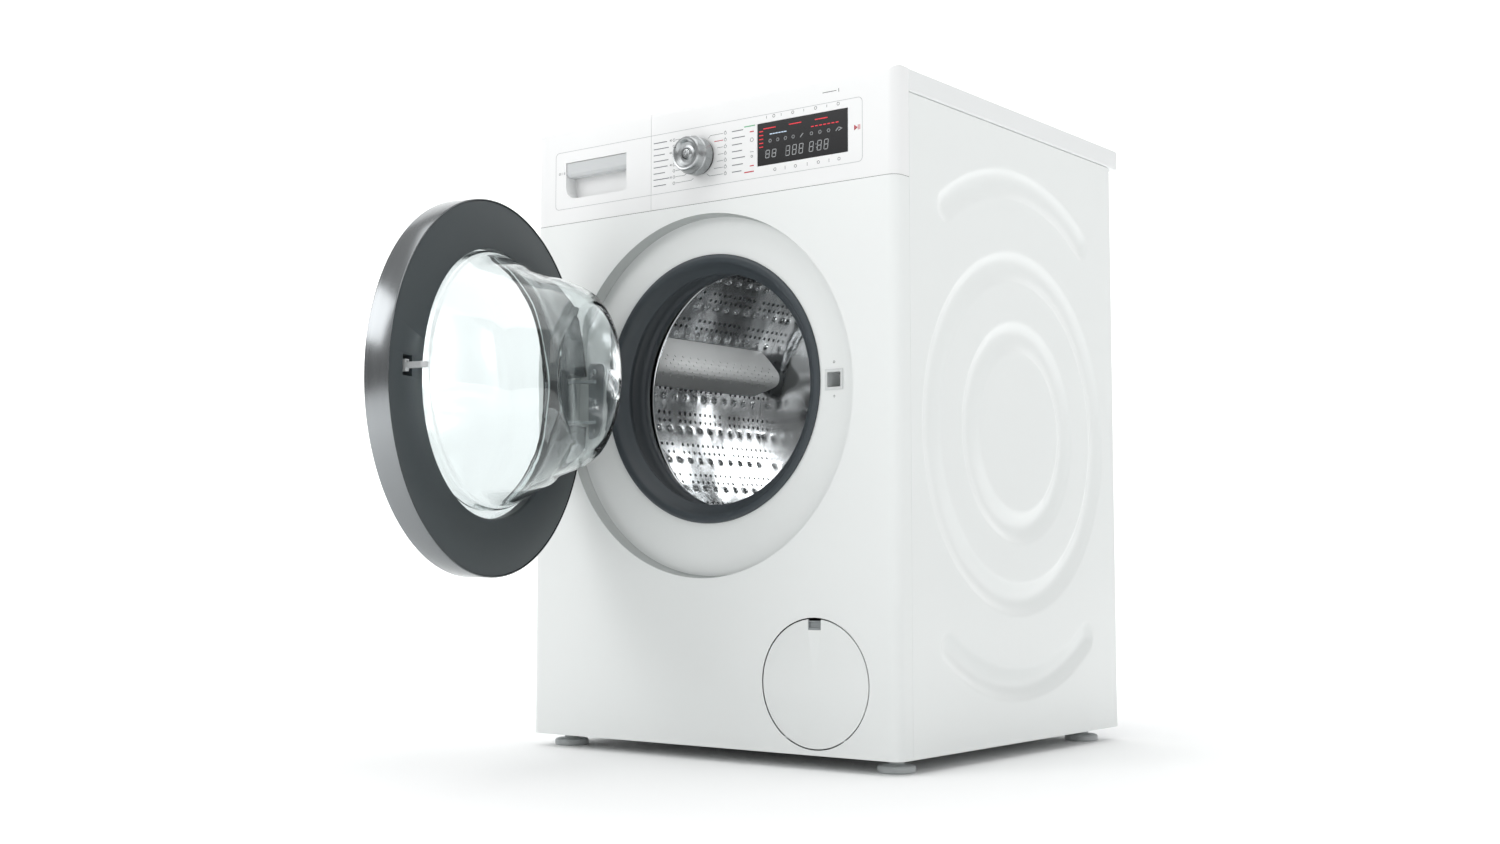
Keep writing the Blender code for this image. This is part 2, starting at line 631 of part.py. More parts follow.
def tub_rear():
    """Tub shell and back wall in one moulding, with the bearing hub and the two spring lugs."""
    y, back, hub = TUB_FRONT + 0.0245 + GAP, TUB_BACK, BEARING_R + GAP
    outline = [(TUB_R, y), (TUB_OUT + 0.004, y), (TUB_OUT + 0.004, y + 0.005), (TUB_OUT, y + 0.005),
               (TUB_OUT, back + 0.0045), (0.042, back + 0.0045), (0.042, back + 0.0045 + HUB_OUT),
               (hub, back + 0.0045 + HUB_OUT), (hub, back + 0.006), (SHAFT_R + 0.0025, back + 0.006),
               (SHAFT_R + 0.0025, back), (TUB_R, back)]
    piece = node("tub_rear", turned(outline, 0.0, AXIS_Z, MEDIUM), "grey_plastic")
    for side in (-1, 1):
        x0, x1 = sorted((side * (TUB_R - 0.030), side * (TUB_OUT + LUG_X)))
        lug = block(x0, x1, SPRING_Y - 0.015, SPRING_Y + 0.015, SPRING_LOW - 0.015, SPRING_LOW)
        join(piece, lug)
    return cut(piece, turned([(0.0, y - 0.01), (TUB_R, y - 0.01), (TUB_R, back), (0.0, back)], 0.0, AXIS_Z, MEDIUM))


SPRING_Y = 0.400
SPRING_LOW = 0.575


def tub_spring(name, side):
    """Coil spring from the side panel's flange to the tub's lug."""
    radius, wire, turns, steps = 0.009, 0.0015, 7, 7
    x, low, high = side * (TUB_OUT + LUG_X - 0.012), SPRING_LOW + GAP + wire, SIDE_TOP - SHEET - GAP - wire
    count = turns * steps
    path = [(x + radius * math.cos(math.tau * i / steps), SPRING_Y + radius * math.sin(math.tau * i / steps),
             low + (high - low) * i / count) for i in range(count + 1)]
    return node(name, swept(path, wire, 5), "galvanised")


def tub_damper(name, side):
    """Friction damper from under the tub to the corner of the base."""
    top, foot_end = Vector((side * 0.125, 0.270, 0.226)), Vector((side * 0.215, 0.270, LIFT + 0.020))
    along = foot_end - top
    outline = [(0.0, 0.0), (0.006, 0.0), (0.006, 0.075), (0.014, 0.075), (0.014, along.length), (0.0, along.length)]
    bm = turned(outline, sides=12)
    turn = Vector((0, 1, 0)).rotation_difference(along).to_matrix()
    bmesh.ops.rotate(bm, verts=bm.verts, cent=(0, 0, 0), matrix=turn)
    bmesh.ops.translate(bm, verts=bm.verts, vec=top)
    return node(name, bm, "black_plastic")


def counterweights():
    y1 = TUB_FRONT - GAP
    front = tube(0.250, 0.182, y1 - 0.030, y1, 0.0, AXIS_Z, MEDIUM)
    node("front_counterweight", front, "concrete")
    upper = node("upper_counterweight", block(-0.085, 0.130, 0.18, 0.38, 0.710, 0.800), "concrete")
    return cut(upper, disc(TUB_OUT + 0.001, 0.1, 0.5, 0.0, AXIS_Z, 64))


def heater():
    """Tubular heating element under the drum, bent into a long U."""
    radius = DRUM_R + DRUM_SHEET + TUB_CLEAR / 2
    spread, y0, y1 = 0.030, TUB_FRONT + 0.035, DRUM_BACK - 0.05
    bend = [(spread * math.cos(a), y1 + spread * math.sin(a)) for a in [math.pi * i / 8 for i in range(9)]]
    route = [(spread, y0)] + bend + [(-spread, y0)]
    path = [(x, y, AXIS_Z - math.sqrt(radius ** 2 - x ** 2)) for x, y in route]
    return node("heater", swept(path, 0.0035), "stainless")


def drum_shell():
    y0, y1, r, t = DRUM_FRONT, DRUM_BACK, DRUM_R, DRUM_SHEET
    outline = [(r + t, y1), (r + t, y0 + 0.0200), (r - 0.002, y0 + 0.0145), (DRUM_MOUTH_R + 0.0065, y0 + 0.0030),
               (DRUM_MOUTH_R + 0.0030, y0), (DRUM_MOUTH_R, y0 + 0.0010), (DRUM_MOUTH_R, y0 + 0.0035),
               (DRUM_MOUTH_R + 0.0045, y0 + 0.0055), (r - 0.003, y0 + 0.0170), (r, y0 + 0.0210), (r, y1)]
    return node("drum_shell", turned(outline, 0.0, AXIS_Z, 36), "stainless", (0.0, DRUM_FRONT, AXIS_Z))


def drum_back():
    bm = disc(DRUM_R + DRUM_SHEET, DRUM_BACK + GAP, DRUM_BACK + GAP + DRUM_SHEET, 0.0, AXIS_Z, 36)
    return node("drum_back", bm, "stainless", (0.0, DRUM_BACK, AXIS_Z))


def drum_spider():
    """Cast cross with three arms and the shaft, behind the drum."""
    y0 = DRUM_BACK + GAP + DRUM_SHEET + GAP
    outline = [(0.0, y0), (0.034, y0), (0.034, y0 + 0.012), (SHAFT_R, y0 + 0.012), (SHAFT_R, SHAFT_END), (0.0, SHAFT_END)]
    piece = node("drum_spider", turned(outline, 0.0, AXIS_Z, MEDIUM), "aluminium", (0.0, DRUM_BACK, AXIS_Z))
    for i in range(3):
        arm = block(0.010, DRUM_R - 0.015, y0, y0 + 0.010, -0.016, 0.016)
        bmesh.ops.rotate(arm, verts=arm.verts, cent=(0, 0, 0), matrix=Matrix.Rotation(math.tau * i / 3 + 0.5, 3, "Y"))
        bmesh.ops.translate(arm, verts=arm.verts, vec=(0, 0, AXIS_Z))
        join(piece, arm)
    return piece


PULLEY_Y = TUB_BACK + 0.0045 + HUB_OUT + 0.002
PULLEY_T = 0.016
SHAFT_END = PULLEY_Y + PULLEY_T


def drum_pulley():
    y0, y1, bore = PULLEY_Y, PULLEY_Y + PULLEY_T, SHAFT_R + 0.0004
    middle = (y0 + y1) / 2
    outline = [(bore, y0), (0.022, y0), (0.022, middle - 0.0015), (PULLEY_R - 0.006, middle - 0.0015),
               (PULLEY_R - 0.006, y0), (PULLEY_R, y0), (PULLEY_R, y1), (PULLEY_R - 0.006, y1),
               (PULLEY_R - 0.006, middle + 0.0015), (0.022, middle + 0.0015), (0.022, y1), (bore, y1)]
    return node("drum_pulley", turned(outline, 0.0, AXIS_Z, 36), "aluminium", (0.0, PULLEY_Y, AXIS_Z))


def drum_paddle(index):
    """Hollow lifting rib, screwed to the drum's wall and running its whole depth."""
    low = DRUM_R - 0.0008
    foot_in = 0.0038
    outline = [(low - foot_in, -0.036), (low - 0.018, -0.030), (low - PADDLE_H + 0.006, -0.012),
               (low - PADDLE_H, 0.0), (low - PADDLE_H + 0.006, 0.012), (low - 0.018, 0.030), (low - foot_in, 0.036)]
    bm = prism(outline, DRUM_FRONT + 0.024, DRUM_BACK - 0.002, "y")
    angle = math.radians(PADDLE_ANGLE) + math.tau * index / PADDLES
    bmesh.ops.rotate(bm, verts=bm.verts, cent=(0, 0, 0), matrix=Matrix.Rotation(-angle, 3, "Y"))
    bmesh.ops.translate(bm, verts=bm.verts, vec=(0, 0, AXIS_Z))
    return node(f"drum_paddle_{index + 1}", bm, "white_plastic", (0.0, DRUM_FRONT, AXIS_Z))


def bearing(name, y0):
    return node(name, tube(BEARING_R, SHAFT_R + 0.0005, y0, y0 + 0.013, 0.0, AXIS_Z, MEDIUM), "stainless")


def motor():
    x, z = MOTOR_AT
    y1 = PULLEY_Y - 0.014
    outline = [(0.0, y1 - MOTOR_LEN), (MOTOR_R * 0.7, y1 - MOTOR_LEN), (MOTOR_R, y1 - MOTOR_LEN + 0.015),
               (MOTOR_R, y1 - 0.010), (MOTOR_R * 0.6, y1), (0.0, y1)]
    return node("motor", turned(outline, x, z, MEDIUM), "galvanised")


def motor_pulley():
    x, z = MOTOR_AT
    y0 = PULLEY_Y - 0.014 + GAP
    outline = [(0.0, y0), (0.005, y0), (0.005, PULLEY_Y), (MOTOR_PULLEY_R, PULLEY_Y),
               (MOTOR_PULLEY_R, PULLEY_Y + PULLEY_T), (0.0, PULLEY_Y + PULLEY_T)]
    return node("motor_pulley", turned(outline, x, z, 24), "galvanised", (x, PULLEY_Y, z))


def drive_belt():
    """Flat ribbed belt round both pulleys, along their common tangents."""
    x, z = MOTOR_AT
    between = math.hypot(x, AXIS_Z - z)
    lean = math.degrees(math.atan2(z - AXIS_Z, x))
    wrap = math.degrees(math.acos((PULLEY_R - MOTOR_PULLEY_R) / between))

    def loop(extra):
        big, small = PULLEY_R + extra, MOTOR_PULLEY_R + extra
        return arc(0.0, AXIS_Z, big, lean + wrap, lean + 360 - wrap, 36) + arc(x, z, small, lean - wrap, lean + wrap, 8)

    piece = node("drive_belt", prism(loop(0.0036), PULLEY_Y + 0.002, PULLEY_Y + PULLEY_T - 0.002, "y"), "rubber")
    return cut(piece, prism(loop(0.0011), PULLEY_Y - 0.01, PULLEY_Y + PULLEY_T + 0.01, "y"))


# ---------------------------------------------------------------- water, flap and pump

def service_flap():
    """Round flap, flush with the front, that tips forward on two pins near its lower edge."""
    x, z = FLAP_AT
    axis_z = z - FLAP_AXIS_DROP
    piece = node("service_flap", disc(FLAP_R, 0.0, 0.0018, x, z), "enamel", (x, FLAP_AXIS_Y, axis_z))
    wide, tall = FLAP_NOTCH
    cut(piece, block(x - wide / 2, x + wide / 2, -0.01, 0.01, z + FLAP_R - tall - 0.0035, z + FLAP_R + 0.01))
    pins = ((x - FLAP_PIN_X, FLAP_AXIS_Y, axis_z), (x + FLAP_PIN_X, FLAP_AXIS_Y, axis_z))
    return join(piece, swept(pins, FLAP_PIN_R, 12))


def pump_housing():
    x, z = FLAP_AT
    wall = 0.005
    r = FILTER_R + 0.0015
    outline = [(r, 0.014), (r + wall, 0.014), (r + wall, 0.150), (0.0, 0.150), (0.0, 0.146), (r, 0.146)]
    return node("pump_housing", turned(outline, x, z, 24), "grey_plastic")


def filter_cap():
    x, z = FLAP_AT
    outline = [(0.0, 0.0115), (FILTER_R, 0.0115), (FILTER_R, 0.030), (0.022, 0.032), (0.020, 0.105), (0.0, 0.105)]
    piece = node("filter_cap", turned(outline, x, z, 24), "grey_plastic", (x, 0.012, z))
    return join(piece, block(x - 0.024, x + 0.024, 0.004, 0.014, z - 0.004, z + 0.004))


def pump_motor():
    x, z = FLAP_AT
    return node("pump_motor", tube(0.024, 0.004, 0.150 + GAP, 0.205, x, z, 20), "black_plastic")


def sump_hose():
    """Moulded rubber hose from the bottom of the tub to the pump."""
    x, z = FLAP_AT
    start = Vector((0.0, 0.200, AXIS_Z - TUB_OUT - 0.004))
    end = Vector((x - FILTER_R - 0.009, 0.090, z))
    bends = [start, start + Vector((0, 0, -0.05)), end + Vector((-0.07, 0.0, 0.0)), end]
    path = []
    for i in range(13):
        t = i / 12
        weights = ((1 - t) ** 3, 3 * t * (1 - t) ** 2, 3 * t ** 2 * (1 - t), t ** 3)
        path.append(sum((w * p for w, p in zip(weights, bends)), Vector()))
    return node("sump_hose", swept(path, 0.019, 10), "rubber")


def rear_fittings():
    """Water valve, drain outlet and mains gland, which pass through the back."""
    x, z = VALVE_AT
    valve = node("inlet_valve", block(x - 0.025, x + 0.025, DEPTH - 0.055, DEPTH - SHEET - GAP, z - 0.03, z + 0.025),
                 "white_plastic")
    join(valve, disc(VALVE_R, DEPTH - 0.01, BACK - 0.006, x, z, COARSE))
    x, z = DRAIN_AT
    elbow = [(DRAIN_R + 0.004, DEPTH + GAP), (DRAIN_R + 0.004, DEPTH + 0.003), (DRAIN_R, DEPTH + 0.003),
             (DRAIN_R, BACK - 0.005), (DRAIN_R - 0.003, BACK - 0.005), (DRAIN_R - 0.003, DEPTH - 0.030),
             (DRAIN_R, DEPTH - 0.030), (DRAIN_R, DEPTH + GAP)]
    node("drain_outlet", turned(elbow, x, z, COARSE), "grey_plastic")
    x, z = GLAND_AT
    gland = [(0.0, DEPTH - 0.012), (GLAND_R, DEPTH - 0.012), (GLAND_R, DEPTH + GAP), (GLAND_R + 0.003, DEPTH + GAP),
             (GLAND_R + 0.003, DEPTH + 0.004), (GLAND_R * 0.6, BACK - 0.008), (0.0, BACK - 0.008)]
    node("mains_gland", turned(gland, x, z, COARSE), "black_plastic")


# ---------------------------------------------------------------- assembly

for panel_name, panel_side in (("left_side_panel", -1), ("right_side_panel", 1)):
    side_panel(panel_name, panel_side)
for make in (front_panel, rear_panel, rear_cover, base_tray, worktop, control_panel, display_window, control_board,
             dispenser_housing, dispenser_hose, door_lock, hinge_bracket, hinge_pin, door_gasket,
             tub_front, tub_rear, counterweights, heater, motor, drive_belt, pump_housing, pump_motor, sump_hose,
             rear_fittings):
    make()
for part_name, part_side in (("left", -1), ("right", 1)):
    tub_spring(f"{part_name}_spring", part_side)
    tub_damper(f"{part_name}_damper", part_side)
bearing("front_bearing", TUB_BACK + 0.0065)
bearing("rear_bearing", TUB_BACK + 0.0045 + HUB_OUT - 0.0135)
for foot_name, foot_at_x, foot_at_y in feet_places():
    foot(foot_name, foot_at_x, foot_at_y)
for make in (drum_shell, drum_back, drum_spider, drum_pulley, motor_pulley, selector_knob, power_button,
             drawer_front, drawer_tray, siphon_cap, service_flap, filter_cap):
    make()
for number in range(PADDLES):
    drum_paddle(number)

hinge = bpy.data.objects.new("door_hinge_axis", None)
hinge.location = (HINGE_X, HINGE_Y, DISH_Z)
bpy.context.collection.objects.link(hinge)
for make in (door_rim, door_inner_ring, door_bowl, door_window, door_hinge_leaf, latch_hook):
    panel = make()
    panel.parent = hinge
    panel.location -= hinge.location
hinge.rotation_euler.z = -REST_ANGLE

free_edge = HINGE_Y - (DOOR_R - HINGE_X) * math.sin(REST_ANGLE) + (FRONT + 0.002 - HINGE_Y) * math.cos(REST_ANGLE)
cabinet = bpy.data.objects.new("washing_machine", None)
bpy.context.collection.objects.link(cabinet)
for item in bpy.data.objects:
    if item.parent is None and item is not cabinet:
        item.parent = cabinet
cabinet.location.y = -(BACK + free_edge) / 2
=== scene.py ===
"""Front load washing machine with its door open: the visual model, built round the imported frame."""
import math

import bmesh
import bpy
from mathutils import Matrix, Vector


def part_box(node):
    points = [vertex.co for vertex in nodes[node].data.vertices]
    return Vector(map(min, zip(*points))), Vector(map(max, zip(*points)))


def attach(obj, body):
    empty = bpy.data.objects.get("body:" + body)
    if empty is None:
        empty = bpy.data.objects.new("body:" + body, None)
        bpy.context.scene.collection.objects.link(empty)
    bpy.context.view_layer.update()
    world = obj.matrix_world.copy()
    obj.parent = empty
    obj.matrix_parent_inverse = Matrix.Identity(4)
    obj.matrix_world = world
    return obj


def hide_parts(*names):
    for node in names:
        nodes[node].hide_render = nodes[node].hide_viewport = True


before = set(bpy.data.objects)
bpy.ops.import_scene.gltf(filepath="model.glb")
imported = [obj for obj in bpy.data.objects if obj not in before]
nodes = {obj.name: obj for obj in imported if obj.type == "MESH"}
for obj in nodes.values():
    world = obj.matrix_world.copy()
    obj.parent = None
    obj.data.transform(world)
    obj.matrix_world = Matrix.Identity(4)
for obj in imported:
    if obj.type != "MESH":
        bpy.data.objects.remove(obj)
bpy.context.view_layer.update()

# Studio: white paper swept up behind the machine, soft boxes above, front left and right, and a
# small light inside the drum. One low camera stands to the right of the front.

FRONT_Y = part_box("front_panel")[0][1]
LENS_MM, SENSOR_MM = 42.73, 36.0
CAMERA_TURN, CAMERA_TILT = math.radians(37.56), math.radians(4.34)


def link(made):
    bpy.context.collection.objects.link(made)
    return made


camera_data = bpy.data.cameras.new("camera")
camera_data.lens, camera_data.sensor_width = LENS_MM, SENSOR_MM
camera = link(bpy.data.objects.new("camera", camera_data))
camera.location = (1.4387, FRONT_Y - 1.7687, 0.2564)
camera.rotation_euler = (math.pi / 2 + CAMERA_TILT, 0.0, CAMERA_TURN)
bpy.context.scene.camera = camera
bpy.context.scene.view_settings.view_transform = "Standard"


def srgb(hexa):
    """A hex colour as linear red, green, blue, alpha."""
    channels = [int(hexa[i:i + 2], 16) / 255 for i in (0, 2, 4)]
    return [c / 12.92 if c <= 0.04045 else ((c + 0.055) / 1.055) ** 2.4 for c in channels] + [1.0]


def add(tree, kind, settings=None, values=None, links=None):
    """A node with its settings, its socket values by name or number, and what feeds its sockets."""
    new = tree.nodes.new(kind)
    for key, value in (settings or {}).items():
        setattr(new, key, value)
    for key, value in (values or {}).items():
        new.inputs[key].default_value = value
    for key, source in (links or {}).items():
        tree.links.new(source, new.inputs[key])
    return new


def principled(mat):
    return mat.node_tree.nodes["Principled BSDF"]


def vary_rough(tree, shader, value, low, high):
    """Let a texture's value move the roughness between two limits."""
    blend = add(tree, "ShaderNodeMapRange", values={"To Min": low, "To Max": high}, links={"Value": value})
    tree.links.new(blend.outputs["Result"], shader.inputs["Roughness"])


def emboss(tree, shader, value, strength, bump):
    """Raise the surface by a texture's value, up to bump millimetres."""
    relief = add(tree, "ShaderNodeBump", values={"Strength": strength, "Distance": bump / 1000.0},
        links={"Height": value})
    tree.links.new(relief.outputs["Normal"], shader.inputs["Normal"])


def surface(name, hexa, rough, metal=0.0, spread=0.0, grain=0.0, bump=0.0, **sockets):
    """A Principled material. Grain and bump are in millimetres; spread is how far the roughness wanders."""
    mat = bpy.data.materials.new(name)
    mat.use_nodes = True
    tree, shader = mat.node_tree, principled(mat)
    shader.inputs["Base Color"].default_value = srgb(hexa)
    shader.inputs["Roughness"].default_value = rough
    shader.inputs["Metallic"].default_value = metal
    for key, value in sockets.items():
        shader.inputs[key.replace("_", " ").title().replace("Ior", "IOR")].default_value = value
    if grain:
        place = add(tree, "ShaderNodeTexCoord")
        scaled = add(tree, "ShaderNodeMapping", links={"Vector": place.outputs["Object"]})
        noise = add(tree, "ShaderNodeTexNoise", values={"Scale": 1000.0 / grain, "Detail": 3.0},
            links={"Vector": scaled.outputs["Vector"]})
        if spread:
            vary_rough(tree, shader, noise.outputs["Fac"], rough - spread, rough + spread)
        if bump:
            emboss(tree, shader, noise.outputs["Fac"], 0.5, bump)
    return mat


def smooth_range(tree, value, *limits):
    """A texture value eased from one pair of limits to another."""
    names = ("From Min", "From Max", "To Min", "To Max")
    return add(tree, "ShaderNodeMapRange", {"interpolation_type": "SMOOTHSTEP"}, dict(zip(names, limits)),
        {"Value": value}).outputs["Result"]


paper = surface("matt white studio paper", "FCFDFD", 0.9, grain=40.0, spread=0.02)
# Far from the machine the paper glows a little, so that it falls off to an even white.
tree, shader = paper.node_tree, principled(paper)
reach = add(tree, "ShaderNodeVectorMath", {"operation": "LENGTH"},
    links={0: add(tree, "ShaderNodeTexCoord").outputs["Object"]})
shader.inputs["Emission Color"].default_value = (1.0, 1.0, 1.0, 1.0)
tree.links.new(smooth_range(tree, reach.outputs["Value"], 0.45, 1.7, 0.0, 0.62),
    shader.inputs["Emission Strength"])
SWEEP_Y, SWEEP_R = 3.0, 1.2
sweep = [(-6.0, 0.0)] + [(SWEEP_Y + SWEEP_R * math.sin(a), SWEEP_R - SWEEP_R * math.cos(a)) for a in
    [i * math.pi / 24 for i in range(13)]] + [(4.2, 6.0)]
points = [(x, y, z) for x in (-7.0, 7.0) for y, z in sweep]
count = len(sweep)
paper_sheet = bpy.data.meshes.new("paper_sweep")
paper_sheet.from_pydata(points, [], [(i, count + i, count + i + 1, i + 1) for i in range(count - 1)])
paper_sheet.shade_smooth()
paper_sheet.materials.append(paper)
floor = link(bpy.data.objects.new("paper_sweep", paper_sheet))
floor.rotation_euler.z = CAMERA_TURN

world = bpy.data.worlds.new("studio")
world.use_nodes = True
tree = world.node_tree
backdrop = tree.nodes["Background"]
backdrop.inputs["Color"].default_value = (1.0, 1.0, 1.0, 1.0)
sky = add(tree, "ShaderNodeSeparateXYZ", links={0: add(tree, "ShaderNodeTexCoord").outputs["Generated"]})
tree.links.new(smooth_range(tree, sky.outputs["Z"], 0.1, 0.5, 0.34, 0.55), backdrop.inputs["Strength"])
bpy.context.scene.world = world


def softbox(name, place, target, size, watts):
    light = bpy.data.lights.new(name, "AREA")
    light.shape = "RECTANGLE"
    light.size, light.size_y = size
    light.energy = watts
    lamp = link(bpy.data.objects.new(name, light))
    lamp.location = place
    lamp.rotation_euler = (Vector(target) - Vector(place)).to_track_quat("-Z", "Y").to_euler()


softbox("overhead_box", (0.3, -0.4, 3.2), (0.0, 0.0, 0.4), (3.0, 3.0), 41.0)
softbox("front_left_box", (-1.8, -3.0, 2.4), (0.0, 0.0, 0.45), (2.4, 1.6), 38.0)
softbox("right_box", (3.2, -0.2, 2.2), (0.3, 0.1, 0.4), (2.0, 1.4), 9.0)
softbox("drum_light", (0.0, FRONT_Y + 0.112, 0.6), (0.02, FRONT_Y + 0.44, 0.52), (0.18, 0.08), 0.6)


# Side panels: 0.8 mm steel sheet, deep-drawn with two rings and two arcs that keep it stiff,
# stoved in white enamel and fixed to the front and back by its folded edges.

ENAMEL = surface("white stoved enamel on steel", "ECEFEE", 0.32, grain=1.4, spread=0.03, bump=0.02,
    coat_weight=0.25, coat_roughness=0.18)


def plain(bm, name):
    """Turn a bmesh into a mesh with its faces pointing outwards."""
    bmesh.ops.recalc_face_normals(bm, faces=bm.faces)
    mesh = bpy.data.meshes.new(name)
    bm.to_mesh(mesh)
    bm.free()
    return mesh


def welded(bm, name):
    bmesh.ops.remove_doubles(bm, verts=bm.verts, dist=1e-6)
    return plain(bm, name)


def piece(name, bm, *settings, **more):
    """Turn a bmesh into a finished object that rides on a body."""
    return finished(name, welded(bm, name), *settings, **more)


def finished(name, mesh, mat, body, replaces=(), slot=None, angle=35.0, bevel=0.0, segments=2):
    """Shade a mesh, give it its material and a rounded edge, and let it ride on a body."""
    mesh.name = name
    mesh.shade_smooth()
    mesh.set_sharp_from_angle(angle=math.radians(angle))
    mesh.materials.clear()
    mesh.materials.append(mat)
    made = link(bpy.data.objects.new(name, mesh))
    if bevel:
        edge = made.modifiers.new("Edge", "BEVEL")
        edge.width = bevel
        edge.segments = segments
        edge.limit_method = "ANGLE"
        edge.angle_limit = math.radians(30)
        edge.harden_normals = True
    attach(made, body)
    if replaces:
        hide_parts(*replaces)
    return made


def skin(bm, *loops):
    """Quads from each closed loop of vertices to the next."""
    for first, last in zip(loops, loops[1:]):
        for i in range(len(first)):
            j = (i + 1) % len(first)
            bm.faces.new((first[i], first[j], last[j], last[i]))


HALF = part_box("front_panel")[1][0]
GROOVE_DEPTH, GROOVE_W = 0.0054, 0.04
PANEL_MID_Y, PANEL_MID_Z, PANEL_STEP, FOLD = FRONT_Y + 0.293, 0.419, 0.0032, 0.006
RINGS = (0.1255, 0.218)
ARC_R, ARC_HALF = 0.3275, math.radians(33.5)


def groove_depth(along, up):
    """Depth of the pressing at a point measured from the panel's middle."""
    radius = math.hypot(along, up)
    nearest = min(abs(radius - ring) for ring in RINGS)
    for sign in (-1, 1):
        angle = math.atan2(along, sign * up)
        held = max(-ARC_HALF, min(ARC_HALF, angle))
        nearest = min(nearest, math.hypot(along - ARC_R * math.sin(held),
            sign * up - ARC_R * math.cos(held)))
    t = nearest / (GROOVE_W / 2)
    return GROOVE_DEPTH * (1 - t * t) if t < 1 else 0.0


def side_sheet(name, side):
    """The pressed sheet as a fine grid, closed by its folded edge and a flat back."""
    low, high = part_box(name)
    count_y, count_z = round((high[1] - low[1]) / PANEL_STEP), round((high[2] - low[2]) / PANEL_STEP)
    outer = side * HALF
    bm = bmesh.new()
    grid = []
    for i in range(count_y + 1):
        y = low[1] + (high[1] - low[1]) * i / count_y
        column = []
        for k in range(count_z + 1):
            z = low[2] + (high[2] - low[2]) * k / count_z
            column.append(bm.verts.new((outer - side * groove_depth(y - PANEL_MID_Y, z - PANEL_MID_Z), y,
                z)))
        grid.append(column)
    for i in range(count_y):
        for k in range(count_z):
            bm.faces.new((grid[i][k], grid[i + 1][k], grid[i + 1][k + 1], grid[i][k + 1]))
    edge = [column[0] for column in grid] + grid[-1][1:] + [column[-1] for column in reversed(grid[:-1])]
    edge += list(reversed(grid[0][1:-1]))
    inner = [bm.verts.new((outer - side * FOLD, v.co.y, v.co.z)) for v in edge]
    skin(bm, edge, inner)
    bm.faces.new(inner)
    return piece(name + "_pressed", bm, ENAMEL, "cabinet", [name], "white_enamel", angle=50)


side_sheet("left_side_panel", -1)
side_sheet("right_side_panel", 1)


# Front panel: one steel sheet wrapped round both corners, pressed with a dish for the door and
# enamelled white, with holes for the porthole, lock and flap. A pale grey ring laid on the dish's wall is
# painted shade.

def arc(cx, cy, radius, first, last, steps):
    turn = [math.radians(first + (last - first) * i / steps) for i in range(steps + 1)]
    return [(cx + radius * math.cos(a), cy + radius * math.sin(a)) for a in turn]


def prism(outline, low, high, along="z"):
    """A flat outline pushed along x, y or z."""
    bm = bmesh.new()
    place = {"x": lambda a, b, c: (c, a, b), "y": lambda a, b, c: (a, c, b), "z": lambda a, b,
        c: (a, b, c)}[along]
    ends = [[bm.verts.new(place(a, b, level)) for a, b in outline] for level in (low, high)]
    for end in ends:
        bm.faces.new(end)
    skin(bm, *ends)
    return bm


def block(x0, x1, y0, y1, z0, z1):
    return prism([(x0, y0), (x1, y0), (x1, y1), (x0, y1)], z0, z1)


def circle(sides):
    return [math.tau * i / sides for i in range(sides)]


def node_block(name):
    """The block that a node's box fills."""
    (x0, y0, z0), (x1, y1, z1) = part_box(name)
    return block(x0, x1, y0, y1, z0, z1)


def lathe(profile, x=0.0, z=0.0, sides=160):
    """An outline of (radius, y) points turned about the line through x, z along y."""
    bm = bmesh.new()
    rings = []
    for radius, y in profile:
        if radius < 1e-7:
            rings.append([bm.verts.new((x, y, z))] * sides)
            continue
        rings.append([bm.verts.new((x + radius * math.cos(a), y, z + radius * math.sin(a))) for a in
            circle(sides)])
    for ring, after in zip(rings, rings[1:] + rings[:1]):
        for i in range(sides):
            j = (i + 1) % sides
            corners = []
            for vert in (ring[i], ring[j], after[j], after[i]):
                if vert not in corners:
                    corners.append(vert)
            if len(corners) > 2:
                bm.faces.new(corners)
    return bm


def applied(holder, *others):
    """The mesh of an object with its modifiers applied. It and its helpers are then removed."""
    bpy.context.view_layer.update()
    mesh = bpy.data.meshes.new_from_object(holder.evaluated_get(bpy.context.evaluated_depsgraph_get()))
    for used in (*others, holder):
        bpy.data.objects.remove(used)
    return mesh


def solid(base, *steps):
    """Boolean steps on a mesh: each is (operation, bmesh). Gives back one plain mesh."""
    body = link(bpy.data.objects.new("base", welded(base, "base")))
    tools = []
    for operation, bm in steps:
        tools.append(link(bpy.data.objects.new("tool", welded(bm, "tool"))))
        step = body.modifiers.new("Step", "BOOLEAN")
        step.operation, step.solver, step.object = operation, "EXACT", tools[-1]
    return applied(body, *tools)


front_low, front_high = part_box("front_panel")
LIFT, SEAM, WRAP = front_low[2], front_high[2], front_high[1] - FRONT_Y
CUT, JOIN, KEEP = "DIFFERENCE", "UNION", "INTERSECT"
CORNER_R, SHEET = 0.014, 0.001
DISH_R, DISH_Z, DISH_FLOOR = 0.235, 0.4645, 0.018
AXIS_Z = 0.474
LOCK_X, LOCK_W, LOCK_H = 0.195, 0.021, 0.02
FLAP_X, FLAP_Z, FLAP_R = 0.177, 0.1034, 0.0783


def wrap(x0, x1, depth, inset=0.0, left=True, right=True):
    """The front's outline seen from above, with round corners where it meets the sides."""
    radius, front = CORNER_R - inset, FRONT_Y + inset
    start = [(x0, FRONT_Y + depth)] + (arc(x0 + radius, front + radius, radius, 180, 270, 10) if left else
        [(x0, front)])
    end = (arc(x1 - radius, front + radius, radius, 270, 360, 10) if right else
        [(x1, front)]) + [(x1, FRONT_Y + depth)]
    return start + end


def at(y):
    return FRONT_Y + y


